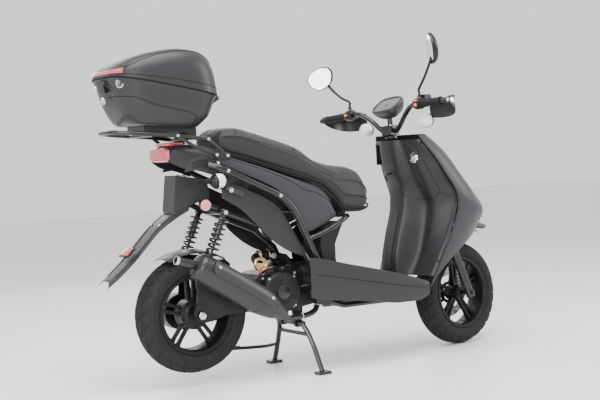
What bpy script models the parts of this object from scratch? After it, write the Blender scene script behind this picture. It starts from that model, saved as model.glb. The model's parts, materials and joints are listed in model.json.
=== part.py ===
"""Petrol scooter with a top case, standing on its centre stand with the handlebar turned a little left.

Every shape is written in the scooter's own coordinates: x forward from the rear axle, y to the
left and z up from the ground. Each body has an empty on its joint, and the root empty carries
the whole scooter to the middle of its footprint. The steering empty turns the front end.
"""

import math

import bmesh
import bpy
from mathutils import Matrix, Vector

# Driving sizes, in metres.
WHEELBASE = 1.37
MIDDLE_X = 0.612  # the middle of the footprint, ahead of the rear axle
REAR_LIFT = 0.051  # what the centre stand lifts the rear tyre
REAR_TYRE_R = 0.2415
REAR_TYRE_W = 0.126
FRONT_TYRE_R = 0.235
FRONT_TYRE_W = 0.116
RIM_R = 0.165  # outer radius of both rims' flanges
RAKE = math.radians(22)
FORK_OFFSET = 0.025  # the axle ahead of the steering axis
STEER_REST = math.radians(10)
GAP = 0.0004  # between pieces that touch
WALL = 0.004  # body panels
FORK_HALF = 0.09  # from the centre line to a fork leg
CROWN_U = 0.325  # underside of the fork crown above the axle, along the fork
RAIL_R = 0.012
SHOCK_Y = 0.112
EXO_R = 0.0135
EXO_Y = 0.172
BAR_R = 0.011
BAR_HALF = 0.37
GRIP_R = 0.0165
AXLE_R = 0.008
PIVOT_R = 0.010
STAND_R = 0.012
RUN = 0.0006  # running clearance round pins

REAR_AXLE = Vector((0, 0, REAR_LIFT + REAR_TYRE_R))
FRONT_AXLE = Vector((WHEELBASE, 0, FRONT_TYRE_R))
SWING_PIVOT = Vector((0.545, 0, 0.300))
STAND_PIVOT = Vector((0.470, 0, 0.205))
SHOCK_TOP = Vector((0.118, 0, 0.700))
SHOCK_BOTTOM = Vector((0.020, 0, 0.470))
SEAT_HINGE = Vector((0.742, 0, 0.640))
CASE_HINGE = Vector((0.1315, 0, 1.166))
KICK_PIVOT = Vector((0.360, 0, 0.300))
CRANK = Vector((0.370, 0, 0.350))
IGNITION = Vector((1.084, -0.122, 0.872))
MUFFLER_Y = -0.190

FORK_UP = Vector((-math.sin(RAKE), 0, math.cos(RAKE)))
FORK_AHEAD = Vector((math.cos(RAKE), 0, math.sin(RAKE)))
ACROSS = Vector((0, 1, 0))
FORWARD = Vector((1, 0, 0))
UP = Vector((0, 0, 1))


def fork(u, v=0.0, y=0.0):
    """A point u above the front axle along the fork, v ahead of it and y to the left."""
    return FRONT_AXLE + FORK_UP * u + FORK_AHEAD * v + ACROSS * y


STEER_POINT = fork(0.735, -FORK_OFFSET)


def along(table, at):
    """The value of a table of (station, value) pairs at a station."""
    if at <= table[0][0]:
        return table[0][1]
    for (a, low), (b, high) in zip(table, table[1:]):
        if at <= b:
            return low + (high - low) * (at - a) / (b - a)
    return table[-1][1]


def smooth_path(points, steps):
    """A smooth curve through the points, with so many steps in each stretch."""
    points = [Vector(p) for p in points]
    ends = [2 * points[0] - points[1], *points, 2 * points[-1] - points[-2]]
    path = []
    for a, b, c, d in zip(ends, ends[1:], ends[2:], ends[3:]):
        for k in range(steps):
            t = k / steps
            path.append(
                0.5 * (2 * b + (c - a) * t + (2 * a - 5 * b + 4 * c - d) * t**2 + (3 * b - a - 3 * c + d) * t**3)
            )
    return [*path, points[-1]]


# Mesh shapes. Each returns a bmesh that is one closed body.


def stack(rings, loop=False):
    """Rings of points joined in order, with both ends capped, or joined end to end as a loop."""
    bm = bmesh.new()
    rows = [[bm.verts.new(p) for p in ring] for ring in rings]
    pairs = list(zip(rows, rows[1:]))
    if loop:
        pairs.append((rows[-1], rows[0]))
    count = len(rows[0])
    for low, high in pairs:
        for i in range(count):
            j = (i + 1) % count
            bm.faces.new((low[i], low[j], high[j], high[i]))
    if not loop:
        bm.faces.new(rows[0][::-1])
        bm.faces.new(rows[-1])
    bmesh.ops.recalc_face_normals(bm, faces=bm.faces)
    return bm


def across_axis(axis):
    """Two directions square to an axis."""
    axis = Vector(axis).normalized()
    side = axis.cross(UP)
    if side.length < 0.1:
        side = axis.cross(FORWARD)
    side.normalize()
    return side, axis.cross(side).normalized()


def circle(centre, axis, radius, sides):
    side, other = across_axis(axis)
    turn = [2 * math.pi * (k + 0.5) / sides for k in range(sides)]
    return [Vector(centre) + radius * (math.cos(t) * side + math.sin(t) * other) for t in turn]


def turned(profile, centre, axis, sides, loop=False):
    """A turned piece: each (radius, distance along the axis) of the profile is a circle."""
    axis = Vector(axis).normalized()
    return stack([circle(Vector(centre) + axis * h, axis, r, sides) for r, h in profile], loop)


def rod(a, b, radius, sides=12):
    a, b = Vector(a), Vector(b)
    return turned([(radius, 0), (radius, (b - a).length)], a, b - a, sides)


def sleeve(a, b, bore, outer, sides=16):
    a, b = Vector(a), Vector(b)
    length = (b - a).length
    return turned([(bore, 0), (outer, 0), (outer, length), (bore, length)], a, b - a, sides, True)


def tube(path, radius, sides=10):
    """A round tube along a path."""
    path = [Vector(p) for p in path]
    ways = [(b - a).normalized() for a, b in zip(path, path[1:])]
    ways = [ways[0], *[(a + b).normalized() for a, b in zip(ways, ways[1:])], ways[-1]]
    side = across_axis(ways[0])[0]
    rings = []
    for point, way in zip(path, ways):
        side = (side - way * side.dot(way)).normalized()
        other = way.cross(side)
        turn = [2 * math.pi * k / sides for k in range(sides)]
        rings.append([point + radius * (math.cos(t) * side + math.sin(t) * other) for t in turn])
    return stack(rings)


def block(low, high):
    (x0, y0, z0), (x1, y1, z1) = low, high
    return stack([[(x0, y0, z), (x1, y0, z), (x1, y1, z), (x0, y1, z)] for z in (z0, z1)])


def plate(outline, y0, y1):
    """An outline in x and z, cut from plate that lies between two values of y."""
    return stack([[(x, y, z) for x, z in outline] for y in (y0, y1)])


def arc(centre, radius, start, end, steps):
    """Points (x, z) on an arc, its angles in degrees from straight ahead towards up."""
    turn = [math.radians(start + (end - start) * k / steps) for k in range(steps + 1)]
    return [(centre[0] + radius * math.cos(t), centre[1] + radius * math.sin(t)) for t in turn]


def oval(centre, half_x, half_y, power, count, height):
    """A ring between an ellipse and a rectangle, whose heights follow from x."""
    ring = []
    for k in range(count):
        t = 2 * math.pi * (k + 0.5) / count
        c, s = math.cos(t), math.sin(t)
        x = centre[0] + half_x * math.copysign(abs(c) ** (2 / power), c)
        y = centre[1] + half_y * math.copysign(abs(s) ** (2 / power), s)
        ring.append(Vector((x, y, height(x))))
    return ring


def sheet(columns, thick):
    """A sheet of even thickness from columns of points; thick is added to every point."""
    thick = Vector(thick)
    return stack([[Vector(p) for p in col] + [Vector(p) + thick for p in reversed(col)] for col in columns])


# Materials and objects.


def material(name, colour, roughness, metallic=0.0):
    made = bpy.data.materials.new(name)
    made.use_nodes = True
    shader = made.node_tree.nodes["Principled BSDF"]
    shader.inputs["Base Color"].default_value = (*colour, 1)
    shader.inputs["Roughness"].default_value = roughness
    shader.inputs["Metallic"].default_value = metallic
    return made


def body(name, pivot, parent=None):
    """An empty on a body's joint, which carries the body's pieces."""
    empty = bpy.data.objects.new(name, None)
    bpy.context.scene.collection.objects.link(empty)
    empty["pivot"] = list(pivot)
    empty.parent = parent
    empty.location = Vector(pivot) - Vector(parent["pivot"]) if parent else (0, 0, 0)
    return empty


def place(name, bm, parent):
    mesh = bpy.data.meshes.new(name)
    bm.to_mesh(mesh)
    bm.free()
    made = bpy.data.objects.new(name, mesh)
    bpy.context.scene.collection.objects.link(made)
    made.parent = parent
    made.location = -Vector(parent["pivot"])
    return made


def piece(name, bm, made_of, parent, join=(), cut=()):
    """A named piece; the shapes in join are added to it, and those in cut are taken away."""
    made = place(name, bm, parent)
    made.data.materials.append(made_of)
    for operation, tools in (("UNION", join), ("DIFFERENCE", cut)):
        for k, tool in enumerate(tools):
            cutter = place(f"{name}_{operation.lower()}_{k}", tool, parent)
            cutter.hide_render = True
            cutter.display_type = "WIRE"
            change = made.modifiers.new(f"{operation.lower()}_{k}", "BOOLEAN")
            change.operation = operation
            change.solver = "EXACT"
            change.object = cutter
    made.data.shade_smooth()
    made.data.set_sharp_from_angle(angle=math.radians(35))
    return made


for old in list(bpy.data.objects):
    bpy.data.objects.remove(old, do_unlink=True)

GREY = material("satin_grey_plastic", (0.075, 0.076, 0.082), 0.42)
BLACK = material("moulded_black_plastic", (0.018, 0.018, 0.020), 0.5)
TUBE_BLACK = material("gloss_black_tube", (0.010, 0.010, 0.011), 0.18, 0.4)
STEEL_BLACK = material("satin_black_steel", (0.02, 0.02, 0.021), 0.4, 0.6)
RUBBER = material("tyre_rubber", (0.022, 0.022, 0.023), 0.8)
VINYL = material("seat_vinyl", (0.016, 0.016, 0.017), 0.6)
STEEL = material("bright_steel", (0.55, 0.55, 0.56), 0.3, 1.0)
ALLOY = material("cast_alloy", (0.10, 0.10, 0.105), 0.45, 0.8)
RED = material("red_lens", (0.45, 0.01, 0.02), 0.2)
CLEAR = material("clear_lens", (0.75, 0.77, 0.80), 0.1)
AMBER = material("amber_plastic", (0.9, 0.3, 0.02), 0.3)
GLOSS_RED = material("red_plastic", (0.6, 0.02, 0.02), 0.3)

frame_body = body("frame_body", (MIDDLE_X, 0, 0))
steering_body = body("steering_body", STEER_POINT, frame_body)
steering_body.rotation_euler = Matrix.Rotation(STEER_REST, 3, FORK_UP).to_euler()
fork_body = body("fork_body", fork(0.2), steering_body)
front_wheel_body = body("front_wheel_body", FRONT_AXLE, fork_body)
swing_body = body("swing_body", SWING_PIVOT, frame_body)
rear_wheel_body = body("rear_wheel_body", REAR_AXLE, swing_body)
stand_body = body("stand_body", STAND_PIVOT, swing_body)
kick_body = body("kick_body", KICK_PIVOT, swing_body)
seat_body = body("seat_body", SEAT_HINGE, frame_body)
lid_body = body("lid_body", CASE_HINGE, frame_body)


# Wheels.

BEAD = 0.80  # where the tyre sits on its rim, as a share of its half width


def tyre_profile(outer, width, bead):
    """A tyre's hollow section: over the tread, down one wall, and back along the inside."""
    half = width / 2
    wall = 0.012
    crown = [(outer, 0), (outer - 0.004, 0.45 * half), (outer - 0.016, 0.80 * half), (outer - 0.040, half)]
    side = [(RIM_R + 0.002, BEAD * half), (bead, BEAD * half)]
    inside = [(bead, BEAD * half - wall), (outer - 0.042, half - wall), (outer - 0.018, 0.5 * half)]
    right = crown + side + inside + [(outer - 0.014, 0)]
    left = [(r, -h) for r, h in reversed(right[1:-1])]
    return right + left


def wheel(prefix, centre, outer, width, parent, hub_r, hub_half, step=26):
    """A tyre on a cast rim with five twin spokes and a bored hub."""
    bead = 0.1540
    piece(prefix + "_tyre", turned(tyre_profile(outer, width, bead), centre, ACROSS, step, True), RUBBER, parent)
    flange = BEAD * width / 2 + GAP
    barrel = [(RIM_R, flange), (RIM_R, flange + 0.005), (0.149, flange + 0.005), (0.143, flange - 0.012)]
    back = [(0.143, 0.012 - flange), (0.149, -flange - 0.005), (RIM_R, -flange - 0.005), (RIM_R, -flange)]
    seats = [(bead - 2 * GAP, -flange), (bead - 2 * GAP, flange)]
    bore = AXLE_R + RUN
    hub = sleeve(centre - ACROSS * hub_half, centre + ACROSS * hub_half, bore, hub_r, 16)
    spokes = []
    for k in range(5):
        for lean in (-6, 6):
            angle = math.radians(72 * k + 18 + lean)
            root = math.radians(72 * k + 18 + 2.2 * lean)
            way = Vector((math.cos(angle), 0, math.sin(angle)))
            start = centre + Vector((math.cos(root), 0, math.sin(root))) * (hub_r - 0.006)
            end = centre + way * 0.147
            run = (end - start).normalized()
            side = run.cross(ACROSS) * 0.0075
            deep = ACROSS * 0.011
            rings = [[p + side + deep, p - side + deep, p - side - deep, p + side - deep] for p in (start, end)]
            spokes.append(stack(rings))
    rim = turned(barrel + back + seats, centre, ACROSS, step, True)
    piece(prefix + "_rim", rim, ALLOY, parent, join=[hub, *spokes])


wheel("front", FRONT_AXLE, FRONT_TYRE_R, FRONT_TYRE_W, front_wheel_body, 0.034, 0.045)
wheel("rear", REAR_AXLE, REAR_TYRE_R, REAR_TYRE_W, rear_wheel_body, 0.062, 0.040)

DISC_Y = 0.0425
DISC_HALF = 0.002
DISC_R = 0.112
holes = []
for k in range(10):
    turn = 2 * math.pi * k / 10
    spot = FRONT_AXLE + Vector((math.cos(turn), 0, math.sin(turn))) * 0.098 + ACROSS * DISC_Y
    holes.append(rod(spot - ACROSS * 0.01, spot + ACROSS * 0.01, 0.008, 6))
disc_middle = FRONT_AXLE + ACROSS * DISC_Y
disc = sleeve(disc_middle - ACROSS * DISC_HALF, disc_middle + ACROSS * DISC_HALF, 0.0352, DISC_R, 26)
piece("front_brake_disc", disc, STEEL, front_wheel_body, cut=holes)


# Front fork, crown and fender.


def fork_box(u0, u1, v0, v1, y0, y1):
    corners = [(v0, y0), (v1, y0), (v1, y1), (v0, y1)]
    return stack([[fork(u, v, y) for v, y in corners] for u in (u0, u1)])


SLIDER_TOP = 0.22
SLIDER_R = 0.020
TUBE_R = 0.0135
for sign, side in ((1, "left"), (-1, "right")):
    y = sign * FORK_HALF
    leg = turned([(SLIDER_R, -0.022), (SLIDER_R, SLIDER_TOP - 0.02), (0.0215, SLIDER_TOP - 0.018),
                  (0.0215, SLIDER_TOP)], fork(0, 0, y), FORK_UP, 16)
    bore = rod(fork(0.06, 0, y), fork(SLIDER_TOP + 0.02, 0, y), TUBE_R + 0.001, 16)
    extra = [rod(fork(0, 0, y - 0.024), fork(0, 0, y + 0.024), 0.012, 12)]
    if side == "right":
        extra = [rod(fork(0, 0, -FORK_HALF - 0.028), fork(0, 0, FORK_HALF - 0.026), AXLE_R, 16), *extra]
    else:
        # The caliper's bracket and body, with a slot for the disc.
        extra.append(fork_box(0.040, 0.090, -0.100, -0.010, 0.060, 0.080))
        extra.append(fork_box(0.034, 0.094, -0.098, -0.052, 0.026, 0.070))
    slot_half = ACROSS * 0.0045
    slot = [rod(disc_middle - slot_half, disc_middle + slot_half, DISC_R + 0.003, 36)]
    piece(f"fork_slider_{side}", leg, ALLOY, fork_body, join=extra, cut=[bore] + (slot if side == "left" else []))

crown = fork_box(CROWN_U, CROWN_U + 0.028, -0.052, 0.020, -FORK_HALF - 0.022, FORK_HALF + 0.022)
crown_parts = []
for y in (FORK_HALF, -FORK_HALF):
    crown_parts.append(rod(fork(0.135, 0, y), fork(CROWN_U + 0.034, 0, y), TUBE_R, 16))
crown_parts.append(rod(fork(CROWN_U + 0.02, -FORK_OFFSET), fork(0.735, -FORK_OFFSET), 0.0155, 16))
piece("fork_crown", crown, STEEL_BLACK, steering_body, join=crown_parts)

FENDER_LINE = [(-0.205, 0.227, 0.056), (-0.16, 0.265, 0.062), (-0.10, 0.285, 0.066), (-0.03, 0.299, 0.067),
               (0.05, 0.303, 0.072), (0.11, 0.297, 0.064), (0.17, 0.270, 0.034)]
fender = []
for x, z, half in FENDER_LINE:
    point = Vector((WHEELBASE + x, 0, FRONT_TYRE_R + z))
    fender.append([point + Vector((0, half * s, -0.020 * abs(s) ** 3)) for s in (-1, -0.6, 0, 0.6, 1)])
boss = fork_box(0.300, CROWN_U - GAP, -0.012, 0.012, -0.02, 0.02)
piece("front_fender", sheet(fender, (0, 0, WALL)), GREY, steering_body, join=[boss])


# Handlebar and its controls.

BAR_CENTRE = Vector((1.045, 0, 1.0))
BAR_BEND = Vector((1.018, 0.195, 1.096))
BAR_END = Vector((1.000, BAR_HALF, 1.090))
BAR_WAY = (BAR_END - BAR_BEND).normalized()


def flip(point, sign):
    return Vector((point.x, point.y * sign, point.z))


def on_bar(distance, sign=1):
    """A point on the straight end of the bar, measured inwards from its tip."""
    return flip(BAR_END - BAR_WAY * distance, sign)


# The brake lever's blade from its pivot: forward, outward, half its width.
LEVER = [(0.0, -0.006, 0.004), (0.0, 0.0, 0.006), (0.004, 0.012, 0.0055), (0.013, 0.045, 0.0045),
         (0.012, 0.090, 0.0045), (0.007, 0.122, 0.0050), (0.006, 0.126, 0.0035)]
half_bar = [BAR_CENTRE, (1.045, 0.045, 1.0), (1.036, 0.11, 1.058), (1.024, 0.16, 1.090)]
half_bar = smooth_path([*half_bar, BAR_BEND], 2)
right_bar = [flip(p, -1) for p in reversed(half_bar[1:])]
bar_path = [flip(BAR_END, -1), *right_bar, *half_bar, BAR_END]
neck = sleeve(fork(0.705, -FORK_OFFSET), fork(0.775, -FORK_OFFSET), 0.0161, 0.025, 16)
neck_top = rod(fork(0.74, -FORK_OFFSET), fork(0.815, -FORK_OFFSET), 0.025, 16)
clamp = block((1.018, -0.03, 0.978), (1.072, 0.03, 1.022))
piece("handlebar", tube(bar_path, BAR_R, 10), TUBE_BLACK, steering_body, join=[neck, neck_top, clamp])

for sign, side in ((1, "left"), (-1, "right")):
    grip = [(BAR_R + 0.0005, 0), (GRIP_R + 0.002, 0), (GRIP_R + 0.002, 0.004), (GRIP_R, 0.006)]
    grip += [(GRIP_R, 0.112), (GRIP_R + 0.0015, 0.114), (GRIP_R + 0.0015, 0.118), (BAR_R + 0.0005, 0.118)]
    way = flip(BAR_WAY, sign)
    name = "grip_left" if side == "left" else "throttle_grip"
    joint = steering_body if side == "left" else body("throttle_body", on_bar(0.06, -1), steering_body)
    piece(name, turned(grip, on_bar(0.124, sign), way, 14, True), RUBBER, joint)
    ring = [(BAR_R + 0.0005, 0), (0.024, 0.002), (0.026, 0.012), (0.026, 0.036), (0.022, 0.044)]
    ring.append((BAR_R + 0.0005, 0.046))
    centre = on_bar(0.148, sign)
    extra = [block(centre + Vector((-0.004, -0.016, -0.012)), centre + Vector((0.030, 0.016, 0.0137)))]
    if side == "right":
        extra.append(block(centre + Vector((0.010, -0.024, 0.005)), centre + Vector((0.052, 0.020, 0.034))))
    perch = centre + Vector((0.030, 0, -0.004))
    extra.append(block(perch + Vector((-0.006, -0.008, -0.012)), perch + Vector((0.016, 0.008, -0.004))))
    extra.append(block(perch + Vector((-0.006, -0.008, 0.008)), perch + Vector((0.016, 0.008, 0.014))))
    # Recesses for the buttons: round on the right, where the starter and the stop switch sit.
    if side == "right":
        pockets = [rod(centre + Vector((-0.035, 0, -0.006)), centre + Vector((-0.018, 0, -0.006)), 0.0070, 12)]
        pockets.append(block(centre + Vector((-0.040, -0.009, 0.006)), centre + Vector((-0.016, 0.009, 0.018))))
    else:
        pockets = [block(centre + Vector((-0.040, -0.010, -0.006)), centre + Vector((-0.018, 0.010, 0.006)))]
    pockets.append(rod(on_bar(0.174, sign), on_bar(0.124, sign), BAR_R + 0.0005, 16))
    piece(f"switch_housing_{side}", turned(ring, on_bar(0.172, sign), way, 14, True), BLACK, steering_body,
          join=extra, cut=pockets)
    pivot = perch + Vector((0.009, 0, 0.002))
    lever_body = body(f"lever_{side}_body", pivot, steering_body)
    blade = []
    for dx, dy, half in LEVER:
        spot = pivot + Vector((dx, dy * sign, 0))
        corners = [(-half, -0.005), (half, -0.005), (half, 0.005), (-half, 0.005)]
        blade.append([spot + Vector((h, 0, z)) for h, z in corners])
    piece(f"brake_lever_{side}", stack(blade), ALLOY, lever_body)

right_centre = on_bar(0.148, -1)
left_centre = on_bar(0.148, 1)
start_body = body("start_body", right_centre, steering_body)
piece("start_button", rod(right_centre + Vector((-0.031, 0, -0.006)), right_centre + Vector((-0.0215, 0, -0.006)),
                          0.0062, 12), AMBER, start_body)
stop_body = body("stop_body", right_centre + Vector((-0.020, 0, 0.012)), steering_body)
piece("kill_switch", block(right_centre + Vector((-0.028, -0.0075, 0.0075)),
                           right_centre + Vector((-0.0180, 0.0075, 0.0165))), GLOSS_RED, stop_body)
signal_body = body("signal_body", left_centre, steering_body)
piece("signal_switch", block(left_centre + Vector((-0.031, -0.004, -0.0045)),
                             left_centre + Vector((-0.0195, 0.004, 0.0045))), AMBER, signal_body)

GUARD = [(1.000, 0.402, 1.082, 1.106), (1.050, 0.390, 1.052, 1.112), (1.090, 0.345, 1.032, 1.114),
         (1.108, 0.280, 1.026, 1.112), (1.100, 0.200, 1.032, 1.100)]
POD = [(0.006, 0), (0.022, 0.006), (0.030, 0.020), (0.030, 0.044), (0.024, 0.056), (0.010, 0.062)]
for sign, side in ((1, "left"), (-1, "right")):
    columns = [[(x, y * sign, z) for z in (low, (low + high) / 2, high)] for x, y, low, high in GUARD]
    tip = flip(BAR_END, sign)
    way = flip(BAR_WAY, sign)
    boss = rod(tip + way * 0.001, tip + way * 0.033, 0.012, 12)
    pod = turned(POD, (1.114, 0.190 * sign, 1.022), -FORWARD, 12)
    piece(f"handguard_{side}", sheet(columns, (0.003, 0.003 * sign, 0)), BLACK, steering_body, join=[boss, pod])


def tilted_oval(centre, way_a, way_b, half_a, half_b, power, count):
    flat = oval((0, 0), half_a, half_b, power, count, lambda x: 0)
    return [Vector(centre) + way_a * p.x + way_b * p.y for p in flat]


CLUSTER = Vector((1.050, 0, 1.102))
CLUSTER_TILT = math.radians(35)
slope = Vector((math.cos(CLUSTER_TILT), 0, math.sin(CLUSTER_TILT)))
face = Vector((-math.sin(CLUSTER_TILT), 0, math.cos(CLUSTER_TILT)))
CLUSTER_RINGS = [(-0.036, 0.034, 0.045), (-0.020, 0.048, 0.062), (0.002, 0.058, 0.074), (0.018, 0.060, 0.077),
                 (0.024, 0.056, 0.072)]
rings = [tilted_oval(CLUSTER + face * h, slope, ACROSS, a, b, 3, 16) for h, a, b in CLUSTER_RINGS]
post = rod((1.048, 0, 1.022 + GAP), (1.048, 0, 1.084), 0.012, 10)
piece("instrument_cluster", stack(rings), BLACK, steering_body, join=[post])

MIRROR_OUTLINE = [(-0.070, 0.026), (-0.048, 0.048), (0.015, 0.053), (0.062, 0.032), (0.072, 0.000),
                  (0.040, -0.045), (-0.030, -0.050), (-0.066, -0.012)]
MIRRORS = {
    # side: y sign, arm tip, head centre, which way the glass looks, roll of the head in degrees
    "left": (1, (1.004, 0.300, 1.212), (0.968, 0.346, 1.281), (-0.93, -0.30, -0.10), 20),
    "right": (-1, (1.006, -0.312, 1.258), (0.990, -0.345, 1.312), (-0.80, 0.58, -0.10), -62),
}
for side, (sign, tip, centre, looks, roll) in MIRRORS.items():
    base = on_bar(0.148, sign) + Vector((0.004, 0, 0.0275))
    mirror_body = body(f"mirror_{side}_body", base, steering_body)
    knee = base + Vector((0, 0, 0.035))
    arm = tube([base, base + Vector((0, 0, 0.020)), knee, Vector(tip)], 0.006, 8)
    looks = Vector(looks).normalized()
    level = looks.cross(UP).normalized() * -sign
    rise = looks.cross(level).normalized()
    rise = rise if rise.z > 0 else -rise
    turn = math.radians(roll)
    way_a = level * math.cos(turn) + rise * math.sin(turn)
    way_b = rise * math.cos(turn) - level * math.sin(turn)
    head = []
    for back, scale in ((-0.006, 0.985), (0.004, 1.0), (0.016, 0.86), (0.024, 0.55)):
        spot = Vector(centre) - looks * back
        head.append([spot + way_a * (a * scale) + way_b * (b * scale) for a, b in MIRROR_OUTLINE])
    link = rod(Vector(tip), Vector(centre) - looks * 0.012, 0.0065, 8)
    piece(f"mirror_{side}", stack(head), BLACK, mirror_body, join=[arm, link])


# Frame: head tube, down tube, rails and the pivot that carries the engine.

RAIL = [(0.960, 0.130, 0.262), (0.660, 0.130, 0.264), (0.588, 0.128, 0.290), (0.535, 0.125, 0.400),
        (0.470, 0.112, 0.525), (0.360, 0.082, 0.605), (0.118, 0.080, 0.706), (0.030, 0.080, 0.748)]
head = sleeve(fork(0.37, -FORK_OFFSET), fork(0.70, -FORK_OFFSET), 0.0185, 0.025, 20)
down = tube(smooth_path([fork(0.46, -FORK_OFFSET), (1.128, 0, 0.455), (1.062, 0, 0.318), (0.985, 0, 0.266),
                         (0.900, 0, 0.262), (0.640, 0, 0.264)], 2), 0.0175, 10)
frame_parts = [down]
for sign in (1, -1):
    frame_parts.append(tube([(x, y * sign, z) for x, y, z in smooth_path(RAIL, 1)], RAIL_R, 8))
    top = SHOCK_TOP
    frame_parts.append(rod((top.x, 0.078 * sign, top.z), (top.x, 0.130 * sign, top.z), 0.006, 10))
for x, z in ((0.930, 0.262), (0.665, 0.264)):
    frame_parts.append(rod((x, -0.130, z), (x, 0.130, z), RAIL_R - 0.001, 10))
frame_parts.append(rod((0.140, -0.080, 0.698), (0.140, 0.080, 0.698), RAIL_R - 0.001, 10))
for sign in (1, -1):
    ear = plate([(0.525, 0.285), (0.545, 0.278), (0.600, 0.275), (0.600, 0.305), (0.560, 0.322), (0.525, 0.315)],
                0.106 * sign, 0.130 * sign)
    frame_parts.append(ear)
frame_parts.append(rod(SWING_PIVOT - ACROSS * 0.110, SWING_PIVOT + ACROSS * 0.110, PIVOT_R, 16))
bore = rod(fork(0.36, -FORK_OFFSET), fork(0.71, -FORK_OFFSET), 0.0185, 20)
piece("main_frame", head, STEEL_BLACK, frame_body, join=frame_parts, cut=[bore])

EXO = [(0.045, 0.140, 0.897), (0.085, 0.165, 0.880), (0.168, EXO_Y, 0.840), (0.267, EXO_Y, 0.794),
       (0.350, EXO_Y, 0.752), (0.405, EXO_Y, 0.700), (0.439, EXO_Y, 0.638), (0.508, EXO_Y, 0.490),
       (0.550, EXO_Y, 0.418), (0.580, 0.166, 0.365), (0.590, 0.160, 0.330)]
BRACE = [(0.474, EXO_Y, 0.562), (0.566, 0.170, 0.590), (0.660, 0.155, 0.630), (0.700, 0.132, 0.645)]
for sign, side in ((1, "left"), (-1, "right")):
    main = tube([(x, y * sign, z) for x, y, z in smooth_path(EXO, 1)], EXO_R, 10)
    brace = tube([(x, y * sign, z) for x, y, z in smooth_path(BRACE, 1)], 0.011, 8)
    piece(f"side_tube_{side}", main, TUBE_BLACK, frame_body, join=[brace])


# Body panels.


def side_panel(name, stations, made_of, bulge):
    """A panel on each side: stations are (x, bottom, top, y at its edges)."""
    for sign, side in ((1, "left"), (-1, "right")):
        columns = []
        for x, bottom, top, y in stations:
            column = []
            for k in range(3):
                t = k / 2
                out = y + bulge * 4 * t * (1 - t)
                column.append((x, out * sign, bottom + (top - bottom) * t))
            columns.append(column)
        piece(f"{name}_{side}", sheet(columns, (0, -WALL * sign, 0)), made_of, frame_body)


side_panel("side_panel", [(0.100, 0.895, 0.934, 0.132), (0.200, 0.852, 0.902, 0.146), (0.300, 0.806, 0.868, 0.150),
                          (0.370, 0.764, 0.842, 0.150), (0.425, 0.695, 0.822, 0.149), (0.462, 0.612, 0.808, 0.148),
                          (0.480, 0.590, 0.801, 0.147), (0.540, 0.606, 0.778, 0.144), (0.600, 0.628, 0.735, 0.138),
                          (0.640, 0.644, 0.664, 0.132)], GREY, 0.004)
side_panel("lower_panel", [(0.095, 0.760, 0.828, 0.143), (0.166, 0.716, 0.806, 0.150), (0.232, 0.656, 0.776, 0.152),
                           (0.298, 0.586, 0.744, 0.152), (0.350, 0.545, 0.706, 0.152), (0.400, 0.516, 0.636, 0.150),
                           (0.445, 0.498, 0.556, 0.149), (0.472, 0.488, 0.512, 0.148)], GREY, 0.003)
side_panel("floor_skirt", [(0.455, 0.322, 0.490, 0.204), (0.530, 0.305, 0.476, 0.214), (0.620, 0.295, 0.452, 0.222),
                           (0.760, 0.275, 0.418, 0.224), (0.900, 0.256, 0.382, 0.220), (1.000, 0.254, 0.352, 0.213),
                           (1.062, 0.272, 0.330, 0.207)], GREY, 0.006)

FLOOR_HALF = 0.198
FLOOR = [(0.600, 0.384), (0.700, 0.368), (0.850, 0.360), (0.980, 0.350), (1.048, 0.338)]
floor = [[(x, FLOOR_HALF * s, z) for s in (-1, -0.5, 0, 0.5, 1)] for x, z in FLOOR]
piece("floorboard", sheet(floor, (0, 0, -0.008)), BLACK, frame_body)

# The cover under the seat's nose, open at the back: (height, furthest forward, back, half width).
UNDERSEAT = [(0.396, 0.684, 0.580, 0.128), (0.460, 0.664, 0.570, 0.128), (0.530, 0.664, 0.560, 0.128),
             (0.585, 0.694, 0.570, 0.124), (0.618, 0.716, 0.610, 0.118)]
rings = []
for z, front, back, half in UNDERSEAT:
    outer = [(back, -half), (front - 0.030, -half), (front, -half * 0.62), (front + 0.004, 0)]
    outer += [(x, -y) for x, y in reversed(outer[:-1])]
    inner = [(back, half - WALL), (front - 0.034, half - WALL), (front - WALL, half * 0.62 - WALL / 2), (front, 0)]
    inner += [(x, -y) for x, y in reversed(inner[:-1])]
    rings.append([(x, y, z) for x, y in outer + inner])
piece("underseat_cover", stack(rings), GREY, frame_body)

EDGE_X = [(0.300, 1.070), (0.374, 1.104), (0.460, 1.142), (0.560, 1.186), (0.675, 1.215), (0.720, 1.206),
          (0.790, 1.168), (0.870, 1.128), (0.950, 1.084), (0.978, 1.074)]
HALF_WIDTH = [(0.300, 0.205), (0.420, 0.222), (0.550, 0.240), (0.676, 0.250), (0.800, 0.232), (0.900, 0.200),
              (0.978, 0.160)]
NOSE_X = [(0.300, 1.260), (0.420, 1.370), (0.545, 1.440), (0.575, 1.462), (0.625, 1.480), (0.680, 1.428),
          (0.734, 1.388), (0.806, 1.334), (0.882, 1.280), (0.935, 1.226), (0.978, 1.172)]
SHIELD_BOTTOM = 0.300
NOSE_BOTTOM = 0.578
SHIELD_TOP = 0.978


def shield_point(t, level, inset):
    """A point of the front shell: t runs from its right edge round the nose to its left edge."""
    angle = math.pi * t
    ahead = math.sin(angle)
    bottom = SHIELD_BOTTOM + (NOSE_BOTTOM - SHIELD_BOTTOM) * ahead**0.5
    z = bottom + (SHIELD_TOP - bottom) * level
    edge = along(EDGE_X, z)
    reach = along(NOSE_X, z) - edge - inset
    half = along(HALF_WIDTH, z) - inset
    return Vector((edge + reach * ahead**0.85, -half * math.cos(angle), z))


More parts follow.
